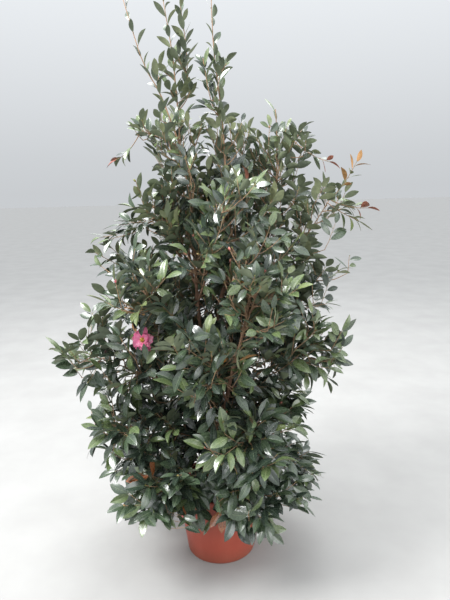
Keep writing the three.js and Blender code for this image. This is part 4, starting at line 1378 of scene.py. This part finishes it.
# Where each lamp stands, the height that it points at, its size and its power
LAMPS = table(
    "name place aim size power",
    ("key", (-2.4, -1.2, 4.2), 1.0, 2.1, 265), ("fill", (2.8, -2.4, 2.4), 0.9, 3.0, 60),
    ("back", (0.4, 2.6, 4.4), 1.2, 4.2, 140),
)


def add_floor():
    bpy.ops.mesh.primitive_plane_add(size=FLOOR_SIZE)
    floor = bpy.context.object
    floor.name = "floor"
    floor.data.materials.append(plain_material("floor_pale", (156, 155, 153), (162, 161, 159), 0.85, 3))


def light_world():
    """A pale grey studio that gets lighter overhead."""
    world = bpy.data.worlds.new("studio")
    bpy.context.scene.world = world
    world.use_nodes = True
    tree = world.node_tree
    kinds = "ShaderNodeTexCoord", "ShaderNodeSeparateXYZ", "ShaderNodeValToRGB"
    place, split, ramp = (tree.nodes.new(kind) for kind in kinds)
    fill_ramp(ramp, [(height, [light * c for c in SKY_TINT]) for height, light in SKY])
    background = tree.nodes["Background"]
    tree.links.new(place.outputs["Generated"], split.inputs[0])
    tree.links.new(split.outputs[2], ramp.inputs[0])
    tree.links.new(ramp.outputs[0], background.inputs["Color"])
    background.inputs["Strength"].default_value = SKY_STRENGTH


def area_light(lamp):
    light = bpy.data.lights.new(lamp.name, "AREA")
    light.shape = "DISK"
    light.size = lamp.size
    light.energy = lamp.power
    holder = bpy.data.objects.new(lamp.name, light)
    holder.location = lamp.place
    direction = vector((0, 0, lamp.aim)) - vector(lamp.place)
    holder.rotation_euler = Vector(direction).to_track_quat("-Z", "Y").to_euler()
    bpy.context.scene.collection.objects.link(holder)


def add_camera():
    pitch, roll, yaw = (math.radians(angle) for angle in (CAMERA.pitch, CAMERA.roll, CAMERA.yaw))
    forward = np.array([math.sin(yaw) * math.cos(pitch), math.cos(yaw) * math.cos(pitch), -math.sin(pitch)])
    level = np.array([math.cos(yaw), -math.sin(yaw), 0])
    upward = np.cross(level, forward)
    right = math.cos(roll) * level - math.sin(roll) * upward
    top = math.cos(roll) * upward + math.sin(roll) * level
    camera = bpy.data.cameras.new("camera")
    camera.sensor_fit = "VERTICAL"
    camera.sensor_height = CAMERA.sensor
    camera.lens = CAMERA.sensor * CAMERA.focal_px / CAMERA.frame_px
    seat = bpy.data.objects.new("camera", camera)
    turn = np.stack([right, top, -forward], 1)
    placed = Matrix([[*turn[i], 0] for i in range(3)] + [[0, 0, 0, 1]])
    placed.translation = (0, -CAMERA.back, CAMERA.height)
    seat.matrix_world = placed
    bpy.context.scene.collection.objects.link(seat)
    bpy.context.scene.camera = seat


add_floor()
light_world()
for lamp in LAMPS:
    area_light(lamp)
add_camera()
bpy.context.scene.view_settings.view_transform = "Standard"
